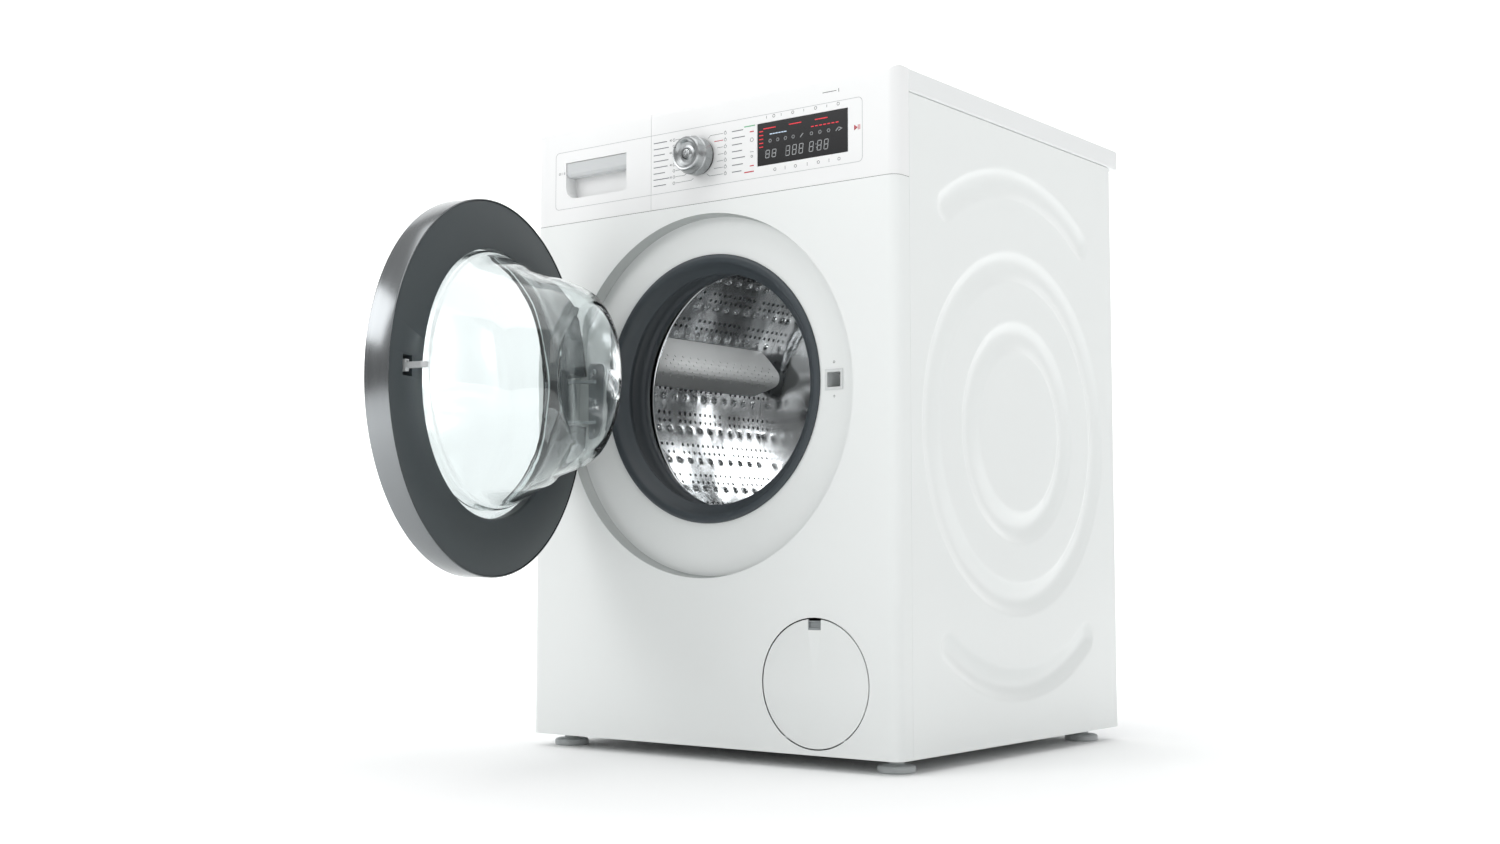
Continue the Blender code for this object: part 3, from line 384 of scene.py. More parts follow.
def turned(profile, x=0.0, z=0.0, sides=160):
    """A lathe outline whose depths are measured from the front panel."""
    return lathe([(r, at(y)) for r, y in profile], x, z, sides)


def from_y(origin, *points):
    """Outline points whose depths are measured from an origin."""
    return [(r, origin + y) for r, y in points]


def disc(radius, y0, y1, x=0.0, z=0.0, sides=160):
    return turned([(0.0, y0), (radius, y0), (radius, y1), (0.0, y1)], x, z, sides)


def lock_slot(y0, y1, wide, tall):
    """A block centred on the slot that takes the latch hook."""
    return block(LOCK_X - wide / 2, LOCK_X + wide / 2, y0, y1, AXIS_Z - tall / 2, AXIS_Z + tall / 2)


front_sheet = solid(prism(wrap(-HALF, HALF, WRAP), LIFT, SEAM),
    (CUT, prism(wrap(-HALF + SHEET, HALF - SHEET, WRAP + 0.01, SHEET), LIFT + 0.012, SEAM - SHEET)),
    (JOIN, disc(DISH_R + SHEET, SHEET / 2, DISH_FLOOR + SHEET, 0.0, DISH_Z)),
    (CUT, disc(DISH_R, -0.01, DISH_FLOOR, 0.0, DISH_Z)), (CUT, disc(0.168, 0.0, 0.05, 0.0, AXIS_Z)),
    (CUT, lock_slot(at(0.01), at(0.03), LOCK_W, LOCK_H)),
    (CUT, disc(FLAP_R + 0.0015, -0.01, 0.03, FLAP_X, FLAP_Z)))
dish_wall = [(DISH_R - 0.0003, 0.0006), (DISH_R, 0.0004), (DISH_R, DISH_FLOOR),
    (DISH_R - 0.0028, DISH_FLOOR), (DISH_R - 0.0012, DISH_FLOOR - 0.0008),
    (DISH_R - 0.0004, DISH_FLOOR - 0.003)]
# The grey of this ring is painted shade: it darkens the dish's wall where the shadow falls.
DISH_WALL_PAINTED_SHADE = surface("pale grey enamel painted with dish wall shade", "B9BDBC", 0.45, grain=1.0, spread=0.04, bump=0.01)
piece("front_panel_dish_edge", turned(dish_wall, 0.0, DISH_Z, 256), DISH_WALL_PAINTED_SHADE, "cabinet",
    slot="white_enamel", angle=50)
finished("front_panel_pressed", front_sheet, ENAMEL, "cabinet", ["front_panel"], "white_enamel", 30, 0.0009,
    3)


# Worktop: a 28 mm laminated board with rounded plastic edging, its top level with the fascia's,
# laid on the casing and screwed from the back.

LAMINATE = surface("white melamine laminate", "E9EBEB", 0.38, grain=0.9, spread=0.04, bump=0.03)
piece("worktop_board", node_block("worktop"), LAMINATE, "cabinet", ["worktop"], "worktop_laminate",
    bevel=0.0022, segments=4)


# Fascia and drawer front: white ABS mouldings with a soft top edge, over a thin black strip that is painted
# shadow in the seam.
# The drawer front has a scooped grip with a pale grey bar across its top.

ABS = surface("white ABS moulding", "EEEFEF", 0.36, grain=0.5, spread=0.03, bump=0.015)
GRIP_ABS = surface("pale grey ABS grip lining", "C9CCCD", 0.45, grain=0.5, spread=0.03, bump=0.015)
WALL, TOP_R = 0.0025, 0.01
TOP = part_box("worktop")[1][2]
SEAM_GAP, SCREEN_GAP = 0.0006, 0.0003


def fascia_part(x0, x1, left, right, *steps):
    """A hollow moulding from x0 to x1, rounded along its top and at the ends that meet a side."""
    edge = arc(at(TOP_R), TOP - TOP_R, TOP_R, 180, 90, 12) + [(at(WRAP), TOP), (at(WRAP), SEAM + SEAM_GAP)]
    edge.append((at(0.0), SEAM + SEAM_GAP))
    hollow = wrap(x0 + WALL, x1 - WALL, WRAP + 0.01, WALL, left, right)
    return solid(prism(wrap(x0, x1, WRAP, 0.0, left, right), SEAM, TOP),
        (KEEP, prism(edge, x0 - 0.01, x1 + 0.01, "x")), (CUT, prism(hollow, SEAM + WALL, TOP - TOP_R)),
        *steps)


# The black strip in the seam is painted shadow: it darkens the gap under the fascia.
SEAM_SHADOW_STRIP = surface("black strip of painted seam shadow", "1A1B1C", 0.8, grain=0.8, spread=0.05, bump=0.02)
SEAM_SHADOW_INSET = 0.0003
piece("fascia_seam_seal", prism(wrap(-HALF + SEAM_SHADOW_INSET, HALF - SEAM_SHADOW_INSET, WRAP - 0.0005, SEAM_SHADOW_INSET),
    SEAM + 0.00005, SEAM + 0.00055), SEAM_SHADOW_STRIP, "cabinet", slot="black_rubber")
screen_low, screen_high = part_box("display_window")
knob_low, knob_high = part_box("selector_knob")
KNOB_X, KNOB_Z = (knob_low[0] + knob_high[0]) / 2, (knob_low[2] + knob_high[2]) / 2
panel_mesh = fascia_part(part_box("control_panel")[0][0], HALF, False, True,
    (CUT, block(screen_low[0] - SCREEN_GAP, screen_high[0] + SCREEN_GAP, at(-0.01), at(0.01),
    screen_low[2] - SCREEN_GAP, screen_high[2] + SCREEN_GAP)),
    (CUT, disc(0.008, -0.01, 0.01, KNOB_X, KNOB_Z, 48)))
finished("control_panel_moulding", panel_mesh, ABS, "cabinet", ["control_panel"], "white_abs", 30, 0.0006,
    2)

DRAWER_X1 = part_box("drawer_front")[1][0]
GRIP_X0, GRIP_X1, GRIP_Z0, GRIP_Z1, GRIP_DEPTH = -0.242, -0.131, 0.748, 0.799, 0.02
GRIP_SPLIT = 0.779
pocket = [(GRIP_X1, GRIP_Z1), (GRIP_X0, GRIP_Z1)] + arc(GRIP_X0 + 0.018, GRIP_Z0 + 0.018, 0.018, 180, 270,
    8)
pocket += arc(GRIP_X1 - 0.004, GRIP_Z0 + 0.004, 0.004, 270, 360, 4)
drawer_mesh = fascia_part(-HALF, DRAWER_X1, True, False,
    (JOIN, block(GRIP_X0 - 0.002, GRIP_X1 + 0.002, at(0.001), at(GRIP_DEPTH + 0.002), GRIP_Z0 - 0.002,
    GRIP_Z1 + 0.002)), (CUT, prism(pocket, at(-0.01), at(GRIP_DEPTH), "y")))
finished("drawer_front_moulding", drawer_mesh, ABS, "drawer", ["drawer_front"], "white_abs", 30, 0.0006, 2)

band = prism([(at(0.0012), GRIP_Z1 - 0.0004), (at(0.0012), GRIP_SPLIT + 0.004), (at(0.005), GRIP_SPLIT),
    (at(0.0165), GRIP_SPLIT), (at(0.0165), GRIP_Z1 - 0.0004)], GRIP_X0 + 0.0004, GRIP_X1 - 0.0004, "x")
piece("drawer_grip_bar", band, GRIP_ABS, "drawer", slot="white_abs", bevel=0.001, segments=3)


# Printing on the fascia: pad-printed ink, a tenth of a millimetre thick. It shows a fine frame,
# programme ticks, plain pictograms and numbers.


def ink(tone, hexa):
    return surface(tone + " pad-printing ink", hexa, 0.5, grain=0.4, spread=0.05)


INK, DARK_INK, RED_INK = ink("grey", "6E7274"), ink("black", "2A2C2E"), ink("red", "C0102A")
GREEN_INK = ink("green", "6FB58A")
PRINT_T = 0.00012


def stroke(bm, points, width, y=None):
    """A thin raised line through points of (x, z) on the fascia."""
    y = at(-PRINT_T) if y is None else y
    for (x0, z0), (x1, z1) in zip(points, points[1:]):
        length = math.hypot(x1 - x0, z1 - z0) or 1e-6
        ax, az = (x1 - x0) / length * width / 2, (z1 - z0) / length * width / 2
        corners = [(x0 - ax - az, z0 - az + ax), (x1 + ax - az, z1 + az + ax), (x1 + ax + az, z1 + az - ax),
            (x0 - ax + az, z0 - az - ax)]
        ends = [[bm.verts.new((x, level, z)) for x, z in corners] for level in (y, y + PRINT_T * 1.5)]
        for end in ends:
            bm.faces.new(end)
        skin(bm, *ends)


def bar(x0, x1, z):
    return [(x0, z), (x1, z)]


def post(x, z0, z1):
    return [(x, z0), (x, z1)]


def printed(name, mat, body, lines, width=0.0005, y=None):
    """Strokes of one ink, joined into one piece."""
    bm = bmesh.new()
    for points in lines:
        stroke(bm, points, width, y)
    return finished(name, plain(bm, name), mat, body, slot="white_abs", angle=30)


def ring(cx, cz, radius, first=0, last=360, steps=14):
    return arc(cx, cz, radius, first, last, steps)


def shift(x, y, z):
    return Matrix.Translation((x, y, z))


def spin(angle, axis):
    return Matrix.Rotation(angle, 4, axis)


def number(text, cx, cz, tall, mat):
    """A printed number, made of flat text turned to face the front."""
    letters = bpy.data.curves.new("number_" + text, "FONT")
    letters.body = text
    letters.size = tall * 1.4
    letters.align_x = letters.align_y = "CENTER"
    letters.extrude = PRINT_T / 2
    mesh = applied(link(bpy.data.objects.new("number", letters)))
    mesh.transform(shift(cx, at(-PRINT_T / 2), cz) @ spin(math.pi / 2, "X"))
    name = f"number_{text}_{round(cx * 1000) + 500}_{round(cz * 1000)}"
    return finished(name, mesh, mat, "cabinet", slot="white_abs")


FRAME_X0, FRAME_X1, FRAME_Z0, FRAME_Z1, FRAME_R = -0.261, 0.2505, 0.735, 0.8145, 0.006
left_frame = [(DRAWER_X1, FRAME_Z1), (FRAME_X0 + FRAME_R, FRAME_Z1)]
left_frame += arc(FRAME_X0 + FRAME_R, FRAME_Z1 - FRAME_R, FRAME_R, 90, 180, 5)
left_frame += arc(FRAME_X0 + FRAME_R, FRAME_Z0 + FRAME_R, FRAME_R, 180, 270, 5) + [(DRAWER_X1, FRAME_Z0)]
right_frame = [(DRAWER_X1 + 0.001, FRAME_Z1)] + arc(FRAME_X1 - FRAME_R, FRAME_Z1 - FRAME_R, FRAME_R, 90, 0,
    5)
right_frame += arc(FRAME_X1 - FRAME_R, FRAME_Z0 + FRAME_R, FRAME_R, 0, -90,
    5) + [(DRAWER_X1 + 0.001, FRAME_Z0)]
FRAME_INK = ink("pale grey", "B4B7B8")
printed("drawer_frame_line", FRAME_INK, "drawer", [left_frame], 0.0006)
printed("panel_frame_line", FRAME_INK, "cabinet", [right_frame], 0.0006)

# Programme ticks either side of the knob, one of them red, each with a small number or pictogram.
DIAL_R, LEFT_TOP, LEFT_PITCH, RIGHT_TOP, RIGHT_PITCH = 0.029, 0.029, 0.0082, 0.026, 0.0088
ticks, icons, words, red_ticks = [], [], [], []
for row in range(8):
    z = KNOB_Z + LEFT_TOP - row * LEFT_PITCH
    inner = KNOB_X - math.sqrt(max(DIAL_R ** 2 - (z - KNOB_Z) ** 2, 0.0001)) - 0.001
    ticks.append([(inner, z - (0.002 if row < 2 else -0.002 if row > 5 else 0)), (inner - 0.004, z),
        (-0.0445, z)])
    icons.append(ring(-0.0475, z, 0.0018, 0, 360, 8))
    words.append([(-0.082, z), (-0.082 + 0.022 + 0.004 * math.sin(row * 2.3), z)])
for row in range(7):
    z = KNOB_Z + RIGHT_TOP - row * RIGHT_PITCH
    inner = KNOB_X + math.sqrt(max(DIAL_R ** 2 - (z - KNOB_Z) ** 2, 0.0001)) + 0.001
    line = [(inner, z - (0.003 if row < 1 else -0.003 if row > 5 else 0)), (inner + 0.004, z), (0.0345, z)]
    (red_ticks if row == 1 else ticks).append(line)
    icons.append(ring(0.0385, z, 0.002, 40, 400, 5 + row % 3))
    icons.append(post(0.0385, z + 0.002, z + 0.0032))
    words.append([(0.05, z), (0.05 + 0.017 + 0.003 * math.sin(row * 1.9), z)])
printed("programme_ticks", INK, "cabinet", ticks, 0.0005)
printed("programme_pictograms", INK, "cabinet", icons, 0.0005)
printed("selected_programme_tick", RED_INK, "cabinet", red_ticks, 0.0009)
printed("programme_bars", INK, "cabinet", words, 0.0011)
for row, text in enumerate(("90", "60", "40", "30")):
    number(text, -0.053, KNOB_Z + LEFT_TOP - (row * 2) * LEFT_PITCH, 0.0028, INK)
touch = [post(x, 0.8095, 0.8125) for x in (0.105, 0.128, 0.163, 0.198)]
touch += [ring(x, 0.811, 0.0018) for x in (0.1165, 0.146, 0.181, 0.215)]
touch += [ring(x, 0.7425, 0.0018) for x in (0.118, 0.15, 0.185, 0.216)]
touch += [post(x, 0.7405, 0.7445) for x in (0.134, 0.168, 0.201)]
touch += [ring(0.0815, 0.7855, 0.0024), bar(0.079, 0.084, 0.77), ring(0.0815, 0.764, 0.0014)]
printed("touch_key_pictograms", DARK_INK, "cabinet", touch, 0.0005)
printed("speed_keys", RED_INK, "cabinet", [bar(0.079, 0.084, 0.796), bar(0.079, 0.084, 0.752),
    bar(0.07, 0.084, 0.7445)], 0.0014)
printed("eco_key", GREEN_INK, "cabinet", [bar(0.07, 0.086, 0.8035)], 0.0014)
printed("start_pause_mark", RED_INK, "cabinet", [[(0.239, 0.7803), (0.239, 0.775), (0.2428, 0.7776),
    (0.239, 0.7803)], [(0.24, 0.779), (0.24, 0.7763), (0.2415, 0.7776)], post(0.2445, 0.7803, 0.775),
    post(0.2468, 0.7803, 0.775)], 0.0009)
printed("compartment_marks", INK, "drawer", [ring(-0.2535, 0.785, 0.0014), post(-0.2495, 0.7835, 0.7865),
    post(-0.2455, 0.7835, 0.7865), post(-0.244, 0.7835, 0.7865)], 0.0005)
printed("model_mark", DARK_INK, "cabinet", [bar(0.192, 0.212, 0.828), post(0.216, 0.8262, 0.83)], 0.0007)


# Display: a smoked acrylic pane let into the fascia. Seven-segment digits, dashes, bars and small
# status marks show on its face, some lit and some grey.

SMOKED = surface("smoked acrylic window", "0E0F12", 0.22, grain=60.0, spread=0.03, specular_ior_level=0.25)
low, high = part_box("display_window")
piece("display_pane", block(low[0], high[0], low[1] + 0.0002, high[1], low[2], high[2]), SMOKED, "cabinet",
    ["display_window"], "display_glass", bevel=0.0004)


def lamp(name, hexa, glow):
    """A marking that gives off a little light of its own colour."""
    mat = surface(name, hexa, 0.4, grain=0.5, spread=0.05)
    shader = principled(mat)
    shader.inputs["Emission Color"].default_value = srgb(hexa)
    shader.inputs["Emission Strength"].default_value = glow
    return mat


# The unlit segments glow faintly although they are not lit: this is a painted glow.
DIM = lamp("unlit segment grey with painted glow", "8C8E90", 0.25)
RED_LAMP = lamp("red indicator", "C81A2C", 0.7)
BLUE_LAMP = lamp("blue white indicator", "A9BACB", 0.6)
SEGMENTS = {"8": "abcdefg", "1": "bc"}


def digit(cx, cz, wide, tall, which):
    """The lit bars of one seven-segment digit, leaning slightly to the right."""
    h, w = tall / 2, wide / 2
    g = wide * 0.14
    bars = {"a": bar(-w + g, w - g, h), "g": bar(-w + g, w - g, 0), "d": bar(-w + g, w - g, -h),
        "f": post(-w, h - g, g), "b": post(w, h - g, g), "e": post(-w, -g, -h + g),
        "c": post(w, -g, -h + g)}
    return [[(cx + x + z * 0.1, cz + z) for x, z in bars[key]] for key in SEGMENTS[which]]


lines, x = [], low[0] + 0.016
for group, tall in (("88", 0.0095), (" ", 0), ("1888", 0.012), (" ", 0), ("8:88", 0.012)):
    for letter in group:
        if letter == " ":
            x += 0.0055
        elif letter == ":":
            lines += [post(x - 0.003, 0.7655, 0.766), post(x - 0.002, 0.761, 0.7615)]
            x += 0.002
        else:
            lines += digit(x, 0.7635, 0.0056, tall, letter)
            x += 0.0058 if letter == "1" else 0.0102
face = low[1] - 0.00005
lines += [ring(low[0] + x, 0.78, 0.0021, 0, 360, 6) for x in
    (0.02, 0.032, 0.044, 0.056, 0.084, 0.097, 0.11)]
lines += [[(low[0] + x, 0.778), (low[0] + x + 0.004, 0.782)] for x in (0.067, 0.121)]
lines += [[(low[0] + 0.125, 0.778), (low[0] + 0.13, 0.78), (low[0] + 0.125, 0.782)]]
printed("display_digits", DIM, "cabinet", lines, 0.001, face)
printed("display_blue_dashes", BLUE_LAMP, "cabinet", [bar(low[0] + 0.02 + i * 0.0045,
    low[0] + 0.0225 + i * 0.0045, 0.7885) for i in range(6)], 0.0012, face)
red = [bar(low[0] + x, low[0] + x + 0.018, 0.7965) for x in (0.01, 0.05, 0.09)]
red += [bar(low[0] + 0.084 + i * 0.0062, low[0] + 0.087 + i * 0.0062, 0.7885) for i in range(7)]
red += [bar(low[0] + 0.0035, low[0] + 0.0085, 0.7935 - i * 0.005) for i in range(5)]
printed("display_red_bars", RED_LAMP, "cabinet", red, 0.0012, face)


# Selector knob and power button: ABS lacquered satin silver with a turned chamfer, on a black
# glass-filled nylon skirt. The button slides in the knob's middle.

SILVER = surface("satin silver lacquer on ABS", "A9ACAD", 0.28, metal=1.0, grain=0.35, spread=0.05,
    bump=0.01)
BLACK = surface("black glass-filled nylon", "141516", 0.45, grain=0.6, spread=0.06, bump=0.02)
knob_front, knob_back = knob_low[1] - FRONT_Y, -0.0003
BORE_R, CAP_R = 0.0067, 0.017
dip = ((0.15, 0.0038), (0.45, 0.0046), (0.8, 0.0034), (1.0, 0.0012))
profile = from_y(knob_front, (BORE_R, 0.0018), *[(BORE_R + (CAP_R - BORE_R) * t, y) for t, y in dip],
    (0.019, 0.0002), (0.0208, 0.0), (0.0218, 0.0008), (0.0225, 0.0024), (0.0238, 0.011), (0.0243, 0.0122),
    (0.025, 0.013))
profile += from_y(knob_back, (0.025, -0.0045), (0.024, -0.0035))
shell = profile + [(BORE_R, knob_back - 0.0035)]
piece("selector_knob_turned", turned(shell, KNOB_X, KNOB_Z, 128), SILVER, "knob", ["selector_knob"],
    "knob_silver", angle=28)
skirt = [(0.0036, knob_back - 0.0032), (0.0238, knob_back - 0.0032), (0.0232, knob_back),
    (0.0066, knob_back), (0.0066, 0.0095), (0.0036, 0.0095)]
piece("selector_knob_skirt", turned(skirt, KNOB_X, KNOB_Z, 96), BLACK, "knob", slot="black_plastic")
printed("knob_pointer", DARK_INK, "knob", [[(KNOB_X + 0.0185 * math.cos(2.6),
    KNOB_Z + 0.0185 * math.sin(2.6)), (KNOB_X + 0.0205 * math.cos(2.6), KNOB_Z + 0.0205 * math.sin(2.6))]],
    0.0009, knob_low[1] - 0.00005)
button_low, button_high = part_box("power_button")
cap = from_y(button_low[1], (0.0, 0.0004), (0.0046, 0.0002), (0.0056, 0.0004), (0.006, 0.001),
    (0.006, 0.0032), (0.003, 0.0032))
cap += [(0.003, button_high[1]), (0.0, button_high[1])]
piece("power_button_cap", lathe(cap, KNOB_X, KNOB_Z, 64), SILVER, "power_switch", ["power_button"],
    "knob_silver", angle=28)
printed("power_symbol", DARK_INK, "power_switch", [ring(KNOB_X, KNOB_Z, 0.0024, 115, 425, 16),
    post(KNOB_X, KNOB_Z + 0.0004, KNOB_Z + 0.0032), ring(KNOB_X, KNOB_Z, 0.0042, 0, 360, 28)], 0.0006,
    button_low[1] + 0.0001)


# Door rim: a brushed stainless steel hoop, 34 mm deep, its face turned inwards to hold the window.
# Door pieces are drawn shut, then turned about the hinge to where the door stands at rest.

DOOR_R, DOOR_T, DOOR_SEAT, BAND = 0.2335, 0.034, 0.012, 0.0015
DOOR_FRONT = DOOR_SEAT - DOOR_T
WINDOW_R, PORT_R = 0.195, 0.1635
HINGE_X, HINGE_Y, HINGE_HALF = -0.2262, -0.01, 0.0305
REST_ANGLE = math.radians(75)
OPEN = shift(HINGE_X, at(HINGE_Y), 0) @ spin(-REST_ANGLE, "Z") @ shift(-HINGE_X, -at(HINGE_Y), 0)


def opened(mesh):
    """Turn a mesh drawn with the door shut to where the door stands at rest."""
    mesh.transform(OPEN)
    return mesh


def hinge_room(room):
    """The space that the hinge takes out of the door's edge."""
    return block(HINGE_X - 0.03, HINGE_X + 0.04, at(HINGE_Y - 0.007), at(0.03), DISH_Z - HINGE_HALF - room,
        DISH_Z + HINGE_HALF + room)


def brushed(name, hexa, rough, centre, bump):
    """Metal brushed round an axis: fine lines that follow the turn."""
    mat = surface(name, hexa, rough, metal=1.0)
    tree, shader = mat.node_tree, principled(mat)
    place = add(tree, "ShaderNodeTexCoord")
    shifted = add(tree, "ShaderNodeVectorMath", {"operation": "SUBTRACT"}, {1: centre},
        {0: place.outputs["Object"]})
    radius = add(tree, "ShaderNodeVectorMath", {"operation": "LENGTH"},
        links={0: shifted.outputs["Vector"]})
    line = add(tree, "ShaderNodeTexNoise", {"noise_dimensions": "1D"}, {"Scale": 3500.0, "Detail": 2.0},
        {"W": radius.outputs["Value"]})
    vary_rough(tree, shader, line.outputs["Fac"], rough - 0.03, rough + 0.04)
    emboss(tree, shader, line.outputs["Fac"], 0.25, bump)
    return mat


DOOR_MID = tuple(OPEN @ Vector((0.0, at(0.0), DISH_Z)))
STEEL_BAND = brushed("brushed stainless steel band", "8A8D8F", 0.2, DOOR_MID, 0.008)
hoop = [(WINDOW_R, DOOR_FRONT + 0.0006), (0.21, DOOR_FRONT), (0.2295, DOOR_FRONT),
    (0.2318, DOOR_FRONT + 0.0007), (0.2331, DOOR_FRONT + 0.002), (DOOR_R, DOOR_FRONT + 0.0038),
    (DOOR_R, DOOR_SEAT - 0.001), (0.2333, DOOR_SEAT - 0.0003), (0.2328, DOOR_SEAT),
    (DOOR_R - BAND, DOOR_SEAT), (DOOR_R - BAND, DOOR_FRONT + 0.0035), (WINDOW_R, DOOR_FRONT + 0.0035)]
hoop_mesh = opened(solid(turned(hoop, 0.0, DISH_Z, 256), (CUT, hinge_room(0.004))))
finished("door_rim_hoop", hoop_mesh, STEEL_BAND, "door", ["door_rim"], "door_chrome", 28)


# Door inner ring and latch: an anthracite polypropylene moulding pressed into the hoop, with a
# recess for the sprung acetal hook that the lock catches.

ANTHRACITE = surface("anthracite glass-filled polypropylene", "3A4144", 0.42, grain=0.5, spread=0.05,
    bump=0.02)
outer = DOOR_R - BAND - 0.0002
back_ring = [(PORT_R - 0.002, 0.0085), (PORT_R - 0.0006, DOOR_SEAT - 0.0012),
    (PORT_R + 0.0016, DOOR_SEAT - 0.0002), (outer - 0.003, DOOR_SEAT), (outer - 0.0006, DOOR_SEAT - 0.001),
    (outer, DOOR_SEAT - 0.0028), (outer, -0.002), (PORT_R - 0.002, -0.002)]
ring_base = turned(back_ring, 0.0, DISH_Z, 224)
RING_X0, RING_X1 = LOCK_X - 0.0095, LOCK_X + 0.0095
ring_mesh = solid(ring_base, (CUT, disc(PORT_R - 0.0006, -0.02, 0.05, 0.0, AXIS_Z)),
    (CUT, hinge_room(0.004)), (CUT, block(RING_X0, RING_X1, at(-0.01), at(0.03), AXIS_Z - 0.012,
    AXIS_Z + 0.012)))
finished("door_ring_moulding", opened(ring_mesh), ANTHRACITE, "door", ["door_inner_ring"],
    "dark_ring_plastic", 30, 0.0005)

NYLON = surface("pale grey acetal latch", "C4C7C8", 0.38, grain=0.5, spread=0.04, bump=0.01)
LATCH_Y = 0.002
hook = [(LOCK_X - 0.0035, LATCH_Y - 0.003), (LOCK_X + 0.0035, LATCH_Y - 0.003), (LOCK_X + 0.0035, 0.032),
    (LOCK_X + 0.006, 0.0322), (LOCK_X + 0.0058, 0.034), (LOCK_X + 0.0036, 0.0375),
    (LOCK_X + 0.0022, 0.0384), (LOCK_X - 0.002, 0.0384), (LOCK_X - 0.0034, 0.037)]
hook_mesh = solid(prism([(x, at(y)) for x, y in hook], AXIS_Z - 0.0034, AXIS_Z + 0.0034),
    (JOIN, block(LOCK_X - 0.0035, LOCK_X + 0.0035, at(LATCH_Y - 0.003), at(0.0118), AXIS_Z - 0.007,
    AXIS_Z + 0.007)))
finished("latch_hook_moulding", opened(hook_mesh), NYLON, "latch", ["latch_hook"], "latch_nylon", 30,
    0.0005)


# Door bowl and window: soda-lime glass pressed round at its flange and to a slanted oval at its
# tip, clamped by the ring, and a clear domed acrylic window in front of it.

GLASS_MAT = surface("pressed soda-lime glass", "F6FAFA", 0.02, grain=120.0, spread=0.01,
    transmission_weight=1.0, ior=1.46)
SIDES, ROWS = 160, 60
BOWL = ((0.161, -0.0023), (0.16, 0.012), (0.152, 0.026), (0.145, 0.044), (0.137, 0.068), (0.128, 0.092),
    (0.118, 0.116), (0.108, 0.134), (0.096, 0.1428), (0.084, 0.1448), (0.06, 0.1456), (0.03, 0.1459),
    (0.0, 0.146))
BOWL_DEPTH = BOWL[-1][1]


def bowl_shape(t):
    """Radius and depth along the bowl's outline, t from the flange to the tip."""
    spot = t * (len(BOWL) - 1)
    i = min(int(spot), len(BOWL) - 2)
    f = spot - i
    before, first, last, after = BOWL[max(i - 1, 0)], BOWL[i], BOWL[i + 1], BOWL[min(i + 2, len(BOWL) - 1)]
    return [0.5 * (2 * b + (c - a) * f + (2 * a - 5 * b + 4 * c - d) * f * f + (3 * b - a - 3 * c + d) * f
        ** 3) for a, b, c, d in zip(before, first, last, after)]


def bowl_point(t, turn, inset):
    """A point of the glass. The ridge wraps the side and fades at the flange and at the tip."""
    radius, depth = bowl_shape(t)
    near_tip = max(0.0, min(1.0, (depth - 0.02) / 0.12))
    ease = near_tip * near_tip * (3 - 2 * near_tip)
    whole = max(0.0, min(1.0, (radius - 0.05) / 0.045))
    squeeze = 1.0 - 0.13 * ease * math.cos(turn - 0.35) ** 2
    line = 0.07 + 0.03 * math.cos(turn + 0.6)
    step = math.tanh((depth - line) / 0.0055)
    fold = -0.0024 * (step - math.tanh((depth - line - 0.04) / 0.012)) * whole * math.sin(math.pi *
        near_tip)
    radius = max(0.0, radius * squeeze + fold - inset * 0.92)
    depth -= 0.65 * inset * (1.0 if t > 0.1 else 0.2)
    return (radius * math.cos(turn), at(depth), AXIS_Z + radius * math.sin(turn))


def fan(bm, loop, tip):
    for i in range(len(loop)):
        bm.faces.new((loop[i], loop[(i + 1) % len(loop)], tip))


bowl = bmesh.new()
outside, inside = [], []
for level, store in ((0.0, outside), (0.004, inside)):
    for row in range(ROWS):
        store.append([bowl.verts.new(bowl_point(row / ROWS, a, level)) for a in circle(SIDES)])
tips = [bowl.verts.new((0.0, at(BOWL_DEPTH - drop), AXIS_Z)) for drop in (0.0, 0.0026)]
flange = [[bowl.verts.new((r * math.cos(a), at(y), AXIS_Z + r * math.sin(a))) for a in circle(SIDES)] for r,
    y in ((0.18, -0.0023), (0.18, -0.0063), (0.1565, -0.0063))]
skin(bowl, inside[0], *reversed(flange), *outside)
skin(bowl, *inside)
for store, tip in ((outside, tips[0]), (inside, tips[1])):
    fan(bowl, store[-1], tip)
bowl_mesh = plain(bowl, "bowl")
finished("door_bowl_glass", opened(bowl_mesh), GLASS_MAT, "door", ["door_bowl"], "bowl_glass", 60)

COVER = surface("clear acrylic door window", "D9DDDD", 0.03, grain=80.0, spread=0.01,
    transmission_weight=1.0, ior=1.49)


def moved(bm, matrix):
    bmesh.ops.transform(bm, matrix=matrix, verts=bm.verts)
    return bm


DOME_ARC, DOME_TIP, DOME_RISE = 1.2, -0.04, 0.0185
dome = [(WINDOW_R * math.sin(a) / math.sin(DOME_ARC), DOME_TIP + DOME_RISE *
    ((1 - math.cos(a)) / (1 - math.cos(DOME_ARC)))) for a in [DOME_ARC * i / 16 for i in range(17)]]
dome[-1] = (WINDOW_R - 0.0002, dome[-1][1])
dome += [(r, y + 0.003) for r, y in reversed(dome)]
piece("door_window_dome", moved(turned(dome, 0.0, DISH_Z, 192), OPEN), COVER, "door", ["door_window"],
    "window_cover", angle=35)


# Hinge: a zinc-plated steel bracket with two arms, screwed to the dish, its pin, and the leaf
# that carries the door.

ZINC = surface("zinc-plated steel", "A9ADAF", 0.34, metal=1.0, grain=2.0, spread=0.08, bump=0.01)
SCREW = surface("bright zinc-plated screw steel", "C2C5C6", 0.3, metal=1.0, grain=0.6, spread=0.06)


